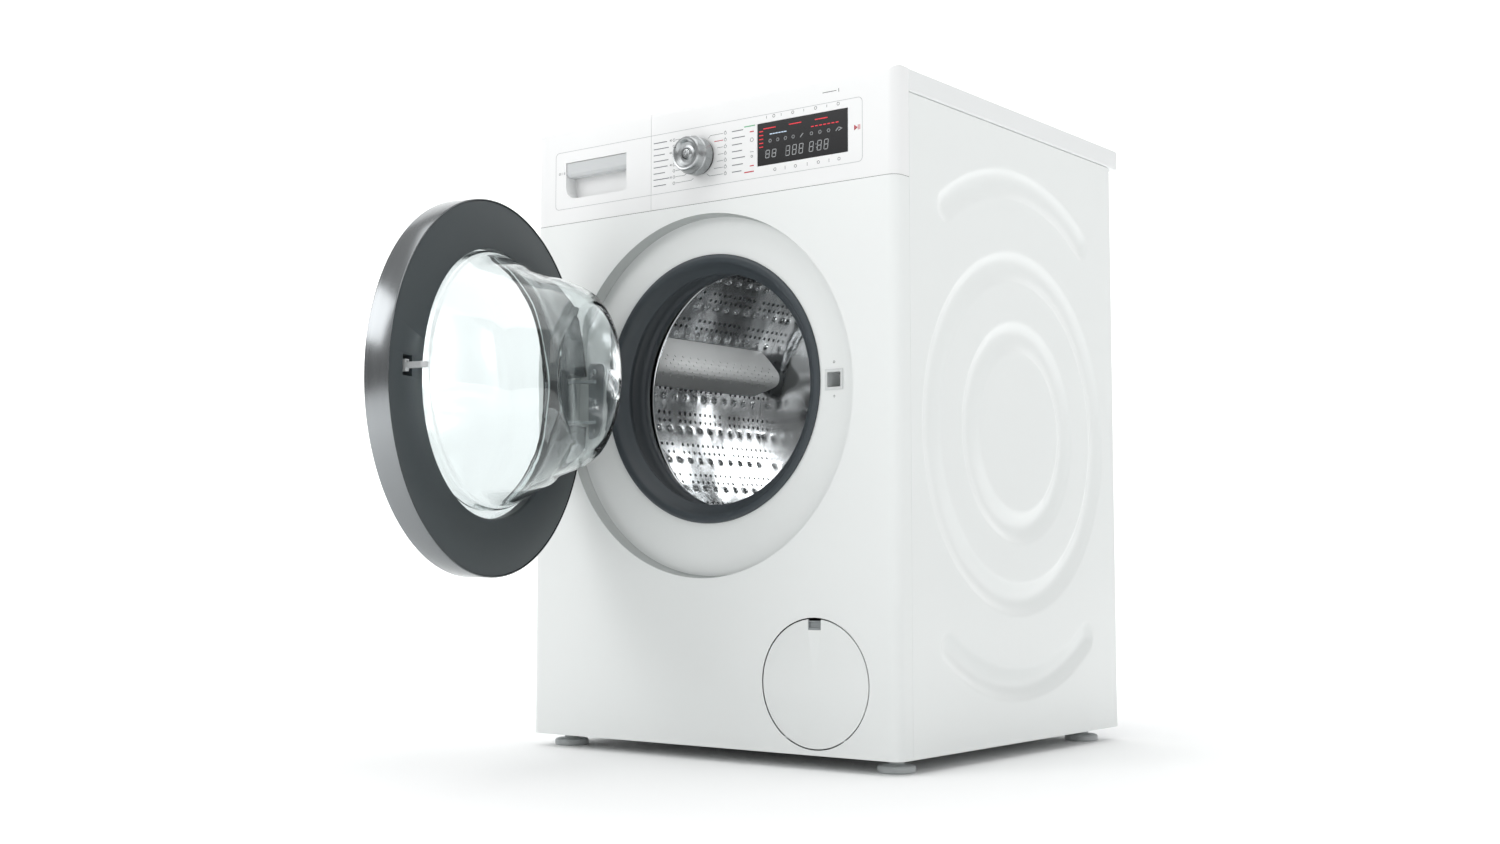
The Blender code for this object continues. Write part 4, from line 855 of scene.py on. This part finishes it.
def screws(name, places, normal, head=0.0042, tall=0.0018):
    """Countersunk cross-head screws set by Geometry Nodes on a list of points."""
    one = lathe([(0.0, 0.0), (head, 0.0), (head, -tall * 0.45), (head * 0.72, -tall), (head * 0.3, -tall),
        (head * 0.24, -tall * 0.35), (0.0, -tall * 0.35)], sides=20)
    head_mesh = plain(one, "screw_head")
    head_mesh.transform(Vector((0, -1, 0)).rotation_difference(Vector(normal)).to_matrix().to_4x4())
    source = link(bpy.data.objects.new("screw_source", head_mesh))
    holder = link(bpy.data.objects.new("screw_points", bpy.data.meshes.new("screw_points")))
    holder.data.from_pydata([tuple(p) for p in places], [], [])
    tree = bpy.data.node_groups.new("Screws", "GeometryNodeTree")
    tree.interface.new_socket("Geometry", in_out="INPUT", socket_type="NodeSocketGeometry")
    head_socket = tree.interface.new_socket("Head", in_out="INPUT", socket_type="NodeSocketObject")
    metal_socket = tree.interface.new_socket("Metal", in_out="INPUT", socket_type="NodeSocketMaterial")
    tree.interface.new_socket("Geometry", in_out="OUTPUT", socket_type="NodeSocketGeometry")
    start = add(tree, "NodeGroupInput")
    info = add(tree, "GeometryNodeObjectInfo", links={"Object": start.outputs["Head"]})
    put = add(tree, "GeometryNodeInstanceOnPoints", links={"Points": start.outputs["Geometry"],
        "Instance": info.outputs["Geometry"]})
    real = add(tree, "GeometryNodeRealizeInstances", links={"Geometry": put.outputs["Instances"]})
    coat = add(tree, "GeometryNodeSetMaterial", links={"Geometry": real.outputs["Geometry"],
        "Material": start.outputs["Metal"]})
    add(tree, "NodeGroupOutput", links={"Geometry": coat.outputs["Geometry"]})
    setting = holder.modifiers.new("Screws", "NODES")
    setting.node_group = tree
    setting[head_socket.identifier] = source
    setting[metal_socket.identifier] = SCREW
    return finished(name, applied(holder, source), SCREW, "cabinet", slot="galvanised_steel", angle=30)


PLATE_Y = DISH_FLOOR - 0.0002
plate = arc(-0.206, 0.043, 0.012, 90, 180, 6) + arc(-0.206, -0.043, 0.012, 180, 270, 6)
plate += arc(-0.19, -0.045, 0.01, 270, 360, 6) + arc(-0.19, 0.045, 0.01, 0, 90, 6)
steps = []
reach = PLATE_Y - 0.001
arm = [(HINGE_X - 0.003, HINGE_Y - 0.0045), (HINGE_X + 0.003, HINGE_Y - 0.0045),
    (HINGE_X + 0.0052, HINGE_Y - 0.002), (HINGE_X + 0.036, reach), (HINGE_X + 0.012, reach),
    (HINGE_X - 0.0045, HINGE_Y + 0.0045), (HINGE_X - 0.0048, HINGE_Y - 0.002)]
for side in (-1, 1):
    span = sorted((DISH_Z + side * HINGE_HALF, DISH_Z + side * (HINGE_HALF - 0.004)))
    steps.append((JOIN, prism([(x, at(y)) for x, y in arm], *span)))
bracket_mesh = solid(prism([(x, DISH_Z + z) for x, z in plate], at(PLATE_Y - 0.0022), at(PLATE_Y), "y"),
    *steps)
finished("hinge_bracket_pressing", bracket_mesh, ZINC, "cabinet", ["hinge_bracket"], "galvanised_steel", 30,
    0.0004)
screws("hinge_bracket_screws", [(-0.196, at(PLATE_Y - 0.0022), DISH_Z + dz) for dz in (-0.043, 0.0, 0.043)],
    (0, -1, 0))


def coat(mat, *names):
    """Give carried-over CAD nodes their material."""
    for name in names:
        nodes[name].data.materials.clear()
        nodes[name].data.materials.append(mat)


coat(ZINC, "hinge_pin", "door_hinge_leaf")


# Door gasket: moulded EPDM bellows, clipped round the porthole and to the tub's neck, with a lip
# for the bowl.

EPDM = surface("dark blue-grey EPDM rubber", "3B4247", 0.48, grain=0.8, spread=0.06, bump=0.03)
low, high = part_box("door_gasket")
G0, G1 = DISH_FLOOR, high[1] - FRONT_Y
bellows = from_y(G0, (0.1745, -0.0002), (0.1745, -0.0022), (0.1738, -0.003), (0.17, -0.0032),
    (0.1655, -0.003), (0.1635, -0.0018), (0.1612, 0.0022), (0.156, 0.0075), (0.1512, 0.0108),
    (0.1502, 0.0122), (0.1503, 0.0138), (0.1516, 0.014), (0.156, 0.0112), (0.1596, 0.0092), (0.1602, 0.011),
    (0.1598, 0.016), (0.162, 0.02), (0.1672, 0.024), (0.1688, 0.0275))
bellows += from_y(G1, (0.169, -0.029), (0.1678, -0.0268), (0.16, -0.0228), (0.1542, -0.0198),
    (0.1537, -0.018), (0.1545, -0.012), (0.1562, -0.006), (0.16, -0.0028), (0.165, 0.0), (0.17, 0.0),
    (0.164, -0.005), (0.1592, -0.009), (0.158, -0.0165), (0.165, -0.0205), (0.1722, -0.025),
    (0.173, -0.0275))
bellows += from_y(G0, (0.173, 0.0245), (0.169, 0.0205), (0.164, 0.016), (0.1632, 0.012), (0.1662, 0.001),
    (0.1662, -0.0002))
piece("door_gasket_bellows", turned(bellows, 0.0, AXIS_Z, 192), EPDM, "cabinet", ["door_gasket"],
    "gasket_rubber", angle=55)


# Drum: polished stainless steel. The front ring is rolled, and the wall has lanes of punched holes
# and pressed drops. The rear wall is pressed with three arms.

STAINLESS = surface("polished stainless drum steel", "C9CBCC", 0.17, metal=1.0, grain=9.0, spread=0.03)
DRUM_R, DRUM_Y0, DRUM_Y1, MOUTH_R, DRUM_T = 0.24, 0.0975, 0.4395, 0.1655, 0.0012
nose = from_y(DRUM_Y0, (MOUTH_R, 0.0035), (MOUTH_R, 0.001), (MOUTH_R + 0.0008, 0.0002),
    (MOUTH_R + 0.0022, 0.0), (MOUTH_R + 0.004, 0.0006), (MOUTH_R + 0.0065, 0.003), (0.225, 0.0122),
    (0.234, 0.0139), (0.239, 0.0162), (DRUM_R + DRUM_T, 0.02), (DRUM_R + DRUM_T, 0.023), (DRUM_R, 0.023),
    (DRUM_R, 0.021), (0.238, 0.018), (0.233, 0.016), (MOUTH_R + 0.0045, 0.0055))
piece("drum_front_ring", turned(nose, 0.0, AXIS_Z, 160), STAINLESS, "drum", ["drum_shell"], "drum_steel",
    angle=35)

TILES, FIRST_TILE = 128, DRUM_Y0 + 0.023
TILE_ROWS = 27
TILE = (DRUM_Y1 - FIRST_TILE) / TILE_ROWS
HOLE_R, DIMPLE_R, DIMPLE_H = 0.0026, 0.005, 0.0028
PADDLE_ANGLE = 164.0


def drum_tile(bm, column, row):
    """One cell of the drum's wall: bare, punched, or pressed inwards as a drop-shaped dimple."""
    angle0, wide = math.tau * column / TILES, math.tau / TILES
    y0 = FIRST_TILE + row * TILE
    lane, bump_row = column % 4, (row + column // 4) % 2 == 0

    def spot(u, v, lift=0.0):
        a = angle0 + wide * (0.5 + u)
        r = DRUM_R + lift
        return bm.verts.new((r * math.cos(a), at(y0 + TILE * (0.5 + v)), AXIS_Z + r * math.sin(a)))

    edge = [(-0.5, -0.5), (0.0, -0.5), (0.5, -0.5), (0.5, 0.0), (0.5, 0.5), (0.0, 0.5), (-0.5, 0.5),
        (-0.5, 0.0)]
    width = DRUM_R * wide
    turns = [math.atan2(v, u) for u, v in edge]
    outer_low = [spot(u, v) for u, v in edge]
    outer_high = [spot(u, v, DRUM_T) for u, v in edge]
    if lane < 2 and row % 10 != 9:
        ends = [[spot(HOLE_R * math.cos(a) / width, HOLE_R * math.sin(a) / TILE, lift) for a in turns] for
            lift in (0.0, DRUM_T)]
        skin(bm, outer_high, ends[1], ends[0], outer_low)
    elif lane == 2 and bump_row:
        rings = [[spot(s * DIMPLE_R * math.cos(a) / width,
            s * DIMPLE_R * (1.0 + 0.25 * (math.sin(a) < 0)) * math.sin(a) / TILE, -DIMPLE_H * h) for a in
            turns] for s, h in ((0.92, 0.1), (0.75, 0.42), (0.48, 0.78), (0.2, 0.97))]
        skin(bm, *reversed(rings), outer_low)
        bm.faces.new(list(reversed(rings[-1])))
        bm.faces.new(outer_high)
    else:
        bm.faces.new(list(reversed(outer_low)))
        bm.faces.new(outer_high)
    rims = [k for k, last in ((0, row == 0), (4, row == TILE_ROWS - 1)) if last]
    for k in rims:
        for i in (k, k + 1):
            j = (i + 1) % 8
            bm.faces.new((outer_low[i], outer_low[j], outer_high[j], outer_high[i]))


wall = bmesh.new()
for column in range(TILES):
    for row in range(TILE_ROWS):
        drum_tile(wall, column, row)
piece("drum_wall_perforated", wall, STAINLESS, "drum", slot="drum_steel", angle=40)

# Rear wall of the drum: three pressed arms, a raised middle and a ring of stiffening lumps.
back_bm = bmesh.new()
BACK_RINGS, BACK_SIDES = 44, 144
BACK_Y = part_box("drum_back")[0][1] - FRONT_Y


def back_lift(radius, turn):
    """How far the rear wall stands forward of its sheet."""
    arm = math.cos(1.5 * (turn - 0.5)) ** 6 * max(0.0, min(1.0, (radius - 0.03) / 0.03,
        (0.215 - radius) / 0.02))
    lump = max(0.0, math.cos(6 * turn)) ** 2 * math.exp(-((radius - 0.125) / 0.028) ** 2)
    hub = math.exp(-(radius / 0.045) ** 4)
    return min(0.015, 0.008 * arm + 0.007 * lump + 0.012 * hub)


EDGE_R, REAR_Y = DRUM_R - 0.0002, BACK_Y + 0.001
back_loops = []
for k in range(1, BACK_RINGS + 1):
    radius = EDGE_R * k / BACK_RINGS
    back_loops.append([back_bm.verts.new((radius * math.cos(a), at(BACK_Y - back_lift(radius, a)),
        AXIS_Z + radius * math.sin(a))) for a in circle(BACK_SIDES)])
middle = back_bm.verts.new((0.0, at(BACK_Y - back_lift(0.0, 0.0)), AXIS_Z))
rear_loop = [back_bm.verts.new((EDGE_R * math.cos(a), at(REAR_Y), AXIS_Z + EDGE_R * math.sin(a))) for a in
    circle(BACK_SIDES)]
skin(back_bm, *back_loops, rear_loop)
fan(back_bm, back_loops[0], middle)
fan(back_bm, rear_loop, back_bm.verts.new((0.0, at(REAR_Y), AXIS_Z)))
piece("drum_back_pressed", back_bm, STAINLESS, "drum", ["drum_back"], "drum_steel", angle=60)


# Drum paddles: three hollow pale grey polypropylene ribs with rows of spray holes, fixed inside
# the drum's wall a third of a turn apart.

PADDLE_PP = surface("pale grey polypropylene paddle", "C6C8C8", 0.36, grain=0.6, spread=0.04, bump=0.015)
PADDLE_H = 0.052
low_r = DRUM_R - 0.0008
side_line = [(0.0038, 0.036), (0.011, 0.0335), (0.02, 0.0285), (0.03, 0.0225), (PADDLE_H - 0.009, 0.014),
    (PADDLE_H - 0.0035, 0.0095), (PADDLE_H - 0.0008, 0.005), (PADDLE_H, 0.0)]
section = [(low_r - h, -w) for h, w in side_line] + [(low_r - h, w) for h, w in reversed(side_line[:-1])]
for index in range(3):
    angle = math.radians(PADDLE_ANGLE) + math.tau * index / 3
    rib = prism(section, at(DRUM_Y0 + 0.024), at(DRUM_Y1 - 0.03), "y")
    holes = bmesh.new()
    for along in range(15):
        for across in range(-3, 4):
            y = DRUM_Y0 + 0.045 + along * 0.0172 + (across % 2) * 0.0086
            t = abs(across) * 0.0048
            spike = bmesh.ops.create_cone(holes, cap_ends=True, segments=6, radius1=0.0013, radius2=0.0013,
                depth=0.012)
            depth = low_r - PADDLE_H + 0.002 + max(0.0, t - 0.005) * 0.9
            spot = shift(depth, at(y), math.copysign(t, across))
            bmesh.ops.transform(holes, matrix=spot @ spin(math.pi / 2, "Y"), verts=spike["verts"])
    rib_mesh = solid(rib, (CUT, holes))
    rib_mesh.transform(shift(0, 0, AXIS_Z) @ spin(-angle, "Y"))
    finished(f"drum_paddle_{index + 1}_moulding", rib_mesh, PADDLE_PP, "drum", [f"drum_paddle_{index + 1}"],
        "paddle_plastic", 30)


# Door lock: a pale grey PBT block behind the dish, with a moulded frame round the slot that takes
# the hook.

LOCK_PBT = surface("pale grey PBT lock moulding", "D6D9D9", 0.4, grain=0.5, spread=0.04, bump=0.01)
low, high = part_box("door_lock")
lock_mesh = solid(node_block("door_lock"), (CUT, lock_slot(at(0.0), high[1] - 0.004, LOCK_W, LOCK_H)))
finished("door_lock_block", lock_mesh, LOCK_PBT, "cabinet", ["door_lock"], "black_plastic", 30, 0.0008)
rim_mesh = solid(block(LOCK_X - 0.0135, LOCK_X + 0.0135, at(DISH_FLOOR - 0.001), at(DISH_FLOOR - 0.0001),
    AXIS_Z - 0.013, AXIS_Z + 0.013), (CUT, block(LOCK_X - 0.0098, LOCK_X + 0.0098, at(0.0), at(0.03),
    AXIS_Z - 0.0092, AXIS_Z + 0.0092)))
finished("door_lock_frame", rim_mesh, LOCK_PBT, "cabinet", slot="black_plastic", angle=30, bevel=0.0004)
printed("door_lock_marks", INK, "cabinet", [ring(LOCK_X, AXIS_Z + 0.0215, 0.0013),
    [(LOCK_X - 0.0016, AXIS_Z - 0.0205), (LOCK_X + 0.0016, AXIS_Z - 0.0205)],
    [(LOCK_X, AXIS_Z - 0.019), (LOCK_X, AXIS_Z - 0.0225)]], 0.0005, at(DISH_FLOOR - PRINT_T))


# Service flap and drain filter: an enamelled disc that tips on two pins, with a finger notch
# lined in grey ABS, and behind it a ribbed polypropylene filter cap.

NOTCH_W, NOTCH_H = 0.019, 0.01
PIN_X, PIN_R, PIN_Y, PIN_Z = 0.0515, 0.0008, 0.0009, FLAP_Z - 0.066
notch_z = FLAP_Z + FLAP_R - NOTCH_H - 0.0035
rim = [(0.0, 0.0), (FLAP_R - 0.0012, 0.0), (FLAP_R - 0.0003, 0.0003), (FLAP_R, 0.001), (FLAP_R, 0.0018),
    (0.0, 0.0018)]
pins = lathe([(0.0, -PIN_X), (PIN_R, -PIN_X), (PIN_R, PIN_X), (0.0, PIN_X)], sides=16)
moved(pins, shift(FLAP_X, at(PIN_Y), PIN_Z) @ spin(math.pi / 2, "Z"))
flap_mesh = solid(turned(rim, FLAP_X, FLAP_Z, 160), (JOIN, pins),
    (CUT, block(FLAP_X - NOTCH_W / 2, FLAP_X + NOTCH_W / 2, at(-0.01), at(0.01), notch_z,
    FLAP_Z + FLAP_R + 0.01)))
finished("service_flap_disc", flap_mesh, ENAMEL, "flap", ["service_flap"], "white_enamel", 30)
GREY_ABS = surface("mid grey ABS grip", "8E9395", 0.45, grain=0.5, spread=0.04, bump=0.015)
half_w, z_top = NOTCH_W / 2 - 0.0002, FLAP_Z + FLAP_R - 0.0022
cup_mesh = solid(block(FLAP_X - half_w, FLAP_X + half_w, at(0.0006), at(0.0034), notch_z + 0.0002, z_top),
    (CUT, block(FLAP_X - half_w + 0.001, FLAP_X + half_w - 0.001, at(0.0), at(0.0028), notch_z + 0.0028,
    z_top - 0.0012)))
finished("service_flap_grip", cup_mesh, GREY_ABS, "flap", slot="white_enamel", angle=30, bevel=0.0003)

FILTER_PP = surface("grey polypropylene filter cap", "A7ACAE", 0.45, grain=0.6, spread=0.05, bump=0.02)
low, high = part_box("filter_cap")
cap_r, cap_y0, cap_y1 = (high[0] - low[0]) / 2, low[1] - FRONT_Y, high[1] - FRONT_Y
cap_line = [(0.0, 0.0118), (cap_r - 0.003, 0.0118), (cap_r - 0.0008, 0.0126), (cap_r, 0.0145),
    (cap_r, 0.03), (0.022, 0.032), (0.02, cap_y1 - 0.002), (0.018, cap_y1), (0.0, cap_y1)]
ribs = []
for i in range(18):
    rib = block(cap_r - 0.004, cap_r - 0.0002, at(0.01), at(0.02), -0.0011, 0.0011)
    ribs.append((JOIN, moved(rib, shift(FLAP_X, 0, FLAP_Z) @ spin(math.tau * i / 18, "Y"))))
filter_mesh = solid(turned(cap_line, FLAP_X, FLAP_Z, 96),
    (JOIN, block(FLAP_X - 0.024, FLAP_X + 0.024, at(cap_y0), at(0.015), FLAP_Z - 0.004, FLAP_Z + 0.004)),
    *ribs)
finished("filter_cap_moulding", filter_mesh, FILTER_PP, "filter", ["filter_cap"], "filter_plastic", 30,
    0.0006)


# Feet: pale grey nylon pads on zinc-plated screws, which turn in the base tray to level the
# machine.

PAD = surface("pale grey nylon foot pad", "C3C7C8", 0.5, grain=0.7, spread=0.05, bump=0.02)
for row in ("front", "back"):
    for side in ("left", "right"):
        name, body = f"{row}_{side}_foot", f"foot_{row}_{side}"
        low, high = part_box(name)
        foot_x, foot_y, radius = (low[0] + high[0]) / 2, (low[1] + high[1]) / 2, (high[0] - low[0]) / 2
        pad = [(0.0, 0.0), (radius - 0.0016, 0.0), (radius, 0.0014), (radius, 0.0064),
            (radius - 0.0012, 0.0082), (radius * 0.8, 0.0092), (0.0105, 0.0098), (0.0096, 0.0109),
            (0.0096, 0.015), (0.0, 0.015)]
        stem = [(0.0, 0.0145)] + [(0.005 - 0.0005 * (k % 2), 0.015 + k * 0.0007) for k in range(46)]
        stem = [(r, min(z, high[2])) for r, z in stem] + [(0.0, high[2])]
        for label, line, mat in (("pad", pad, PAD), ("screw", stem, ZINC)):
            bm = lathe([(r, -z) for r, z in line], sides=64 if label == "pad" else 24)
            moved(bm, shift(foot_x, foot_y, 0) @ spin(-math.pi / 2, "X"))
            piece(f"{name}_{label}", bm, mat, body, [name] if label == "pad" else (), "black_plastic",
                angle=30)


# Detergent drawer: a white polypropylene tray with three rounded compartments and a blue-grey
# siphon cap, fixed behind the drawer front.

WHITE_PP = surface("white polypropylene", "E4E6E6", 0.4, grain=0.7, spread=0.05, bump=0.02)
low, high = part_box("drawer_tray")
span, steps = (high[0] - low[0]) / 3, []
for i in range(3):
    x0 = low[0] + i * span + 0.002
    x1, y0, y1, r = x0 + span - 0.003, low[1] + 0.012, high[1] - 0.002, 0.009
    corners = arc(x0 + r, y0 + r, r, 180, 270, 6) + arc(x1 - r, y0 + r, r, 270, 360, 6)
    corners += arc(x1 - r, y1 - r, r, 0, 90, 6) + arc(x0 + r, y1 - r, r, 90, 180, 6)
    steps.append((CUT, prism(corners, low[2] + 0.002, high[2] + 0.01)))
tray_mesh = solid(node_block("drawer_tray"), *steps)
finished("drawer_tray_moulding", tray_mesh, WHITE_PP, "drawer", ["drawer_tray"], "white_polypropylene", 30,
    0.0006)
SIPHON_PP = surface("blue-grey polypropylene siphon", "7F95A8", 0.38, grain=0.6, spread=0.05, bump=0.015)
low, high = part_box("siphon_cap")
grip_tab = block((low[0] + high[0]) / 2 - 0.006, (low[0] + high[0]) / 2 + 0.006, low[1] + 0.004,
    low[1] + 0.012, low[2], high[2])
siphon_mesh = solid(block(low[0], high[0], low[1], high[1], low[2], high[2] - 0.0015), (JOIN, grip_tab))
finished("siphon_cap_moulding", siphon_mesh, SIPHON_PP, "drawer", ["siphon_cap"], "siphon_blue_grey", 30,
    0.0006)


# Back: galvanised steel sheet with pressed beads and its slotted cover, both screwed on, with
# holes for the hose and mains fittings.

GALVANISED = surface("spangled galvanised steel", "B9BDBF", 0.42, metal=1.0)
tree = GALVANISED.node_tree
place = add(tree, "ShaderNodeTexCoord")
flakes = add(tree, "ShaderNodeTexVoronoi", values={"Scale": 90.0},
    links={"Vector": place.outputs["Object"]})
vary_rough(tree, principled(GALVANISED), flakes.outputs["Color"], 0.3, 0.55)
REAR_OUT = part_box("rear_panel")[1][1] - FRONT_Y
SERVICE_HOLE, VALVE_R = (-0.17, 0.17, 0.25, 0.62), 0.014
BEADS = ((-0.2, 0.2, 0.07, 0.082), (-0.2, 0.2, 0.15, 0.162), (-0.2, 0.06, 0.69, 0.702),
    (-0.262, -0.25, 0.22, 0.66), (0.25, 0.262, 0.22, 0.66))
BEAD_DEPTH, THROUGH, SCREW_R = 0.0005, 0.01, 0.0045


def rear_cut(x0, x1, z0, z1, depth):
    """Take depth off the rear panel's outer face."""
    return CUT, block(x0, x1, at(REAR_OUT - depth), at(REAR_OUT + THROUGH), z0, z1)


rear_steps = [rear_cut(*SERVICE_HOLE, THROUGH)]
for node_name, radius in (("inlet_valve", VALVE_R), ("drain_outlet", 0.0128), ("mains_gland", 0.0098)):
    fit_low, fit_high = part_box(node_name)
    x, z = (fit_low[0] + fit_high[0]) / 2, (fit_low[2] + fit_high[2]) / 2
    if node_name == "inlet_valve":
        x, z = 0.23, TOP - 0.073
    rear_steps.append((CUT, disc(radius, REAR_OUT - THROUGH, REAR_OUT + THROUGH, x, z, 48)))
rear_steps += [rear_cut(*bead, BEAD_DEPTH) for bead in BEADS]
rear_mesh = solid(node_block("rear_panel"), *rear_steps)
finished("rear_panel_sheet", rear_mesh, GALVANISED, "cabinet", ["rear_panel"], "galvanised_steel", 30,
    0.0002)
low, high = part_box("rear_cover")
cover_y = high[1]
cover_steps = [(CUT, block(x - 0.002, x + 0.002, cover_y - 0.01, cover_y + 0.01, 0.33, 0.41)) for x in
    [-0.1 + 0.02 * i for i in range(11)]]
finished("rear_cover_sheet", solid(node_block("rear_cover"), *cover_steps), GALVANISED, "cabinet",
    ["rear_cover"], "galvanised_steel", 30, 0.0002)
edge_points = [(x, cover_y + 0.0001, z) for x in (low[0] + 0.01, high[0] - 0.01) for z in
    (0.245, 0.34, 0.435, 0.53, 0.625)]
screws("rear_cover_screws", edge_points, (0, 1, 0), SCREW_R)
panel_points = [(x, at(REAR_OUT) + 0.0001, z) for x in (-0.287, 0.287) for z in
    (0.05, 0.25, 0.45, 0.65, 0.78)]
screws("rear_panel_screws", panel_points, (0, 1, 0), SCREW_R)
screws("worktop_screws", [(x, at(REAR_OUT) + 0.0001, TOP - 0.04) for x in (-0.12, 0.0)], (0, 1, 0), SCREW_R)


# Works inside the casing, and the plain fittings: cast, moulded and pressed parts. Each node keeps
# its own shape and takes its material.

coat(surface("grey talc-filled polypropylene", "9EA3A6", 0.5, grain=1.2, spread=0.06, bump=0.03),
    "tub_front", "tub_rear", "pump_housing", "drain_outlet")
coat(WHITE_PP, "base_tray", "dispenser_housing", "inlet_valve")
coat(surface("cast concrete", "9A9A96", 0.88, grain=3.0, spread=0.08, bump=0.3), "front_counterweight",
    "upper_counterweight")
coat(surface("die-cast aluminium", "B4B7B9", 0.42, metal=1.0, grain=0.9, spread=0.08, bump=0.03),
    "drum_spider", "drum_pulley", "motor")
coat(surface("oil-tempered spring steel", "6F7477", 0.35, metal=1.0, grain=0.8, spread=0.06), "left_spring",
    "right_spring", "heater")
coat(surface("ground bearing steel", "BFC2C4", 0.2, metal=1.0, grain=0.5, spread=0.04), "front_bearing",
    "rear_bearing", "motor_pulley")
coat(surface("black EPDM rubber", "1C1D1E", 0.62, grain=0.8, spread=0.08, bump=0.03), "drive_belt",
    "dispenser_hose", "sump_hose")
coat(BLACK, "left_damper", "right_damper", "pump_motor", "mains_gland")
coat(surface("green epoxy circuit board", "2D5A3A", 0.35, grain=2.0, spread=0.08, bump=0.02),
    "control_board")
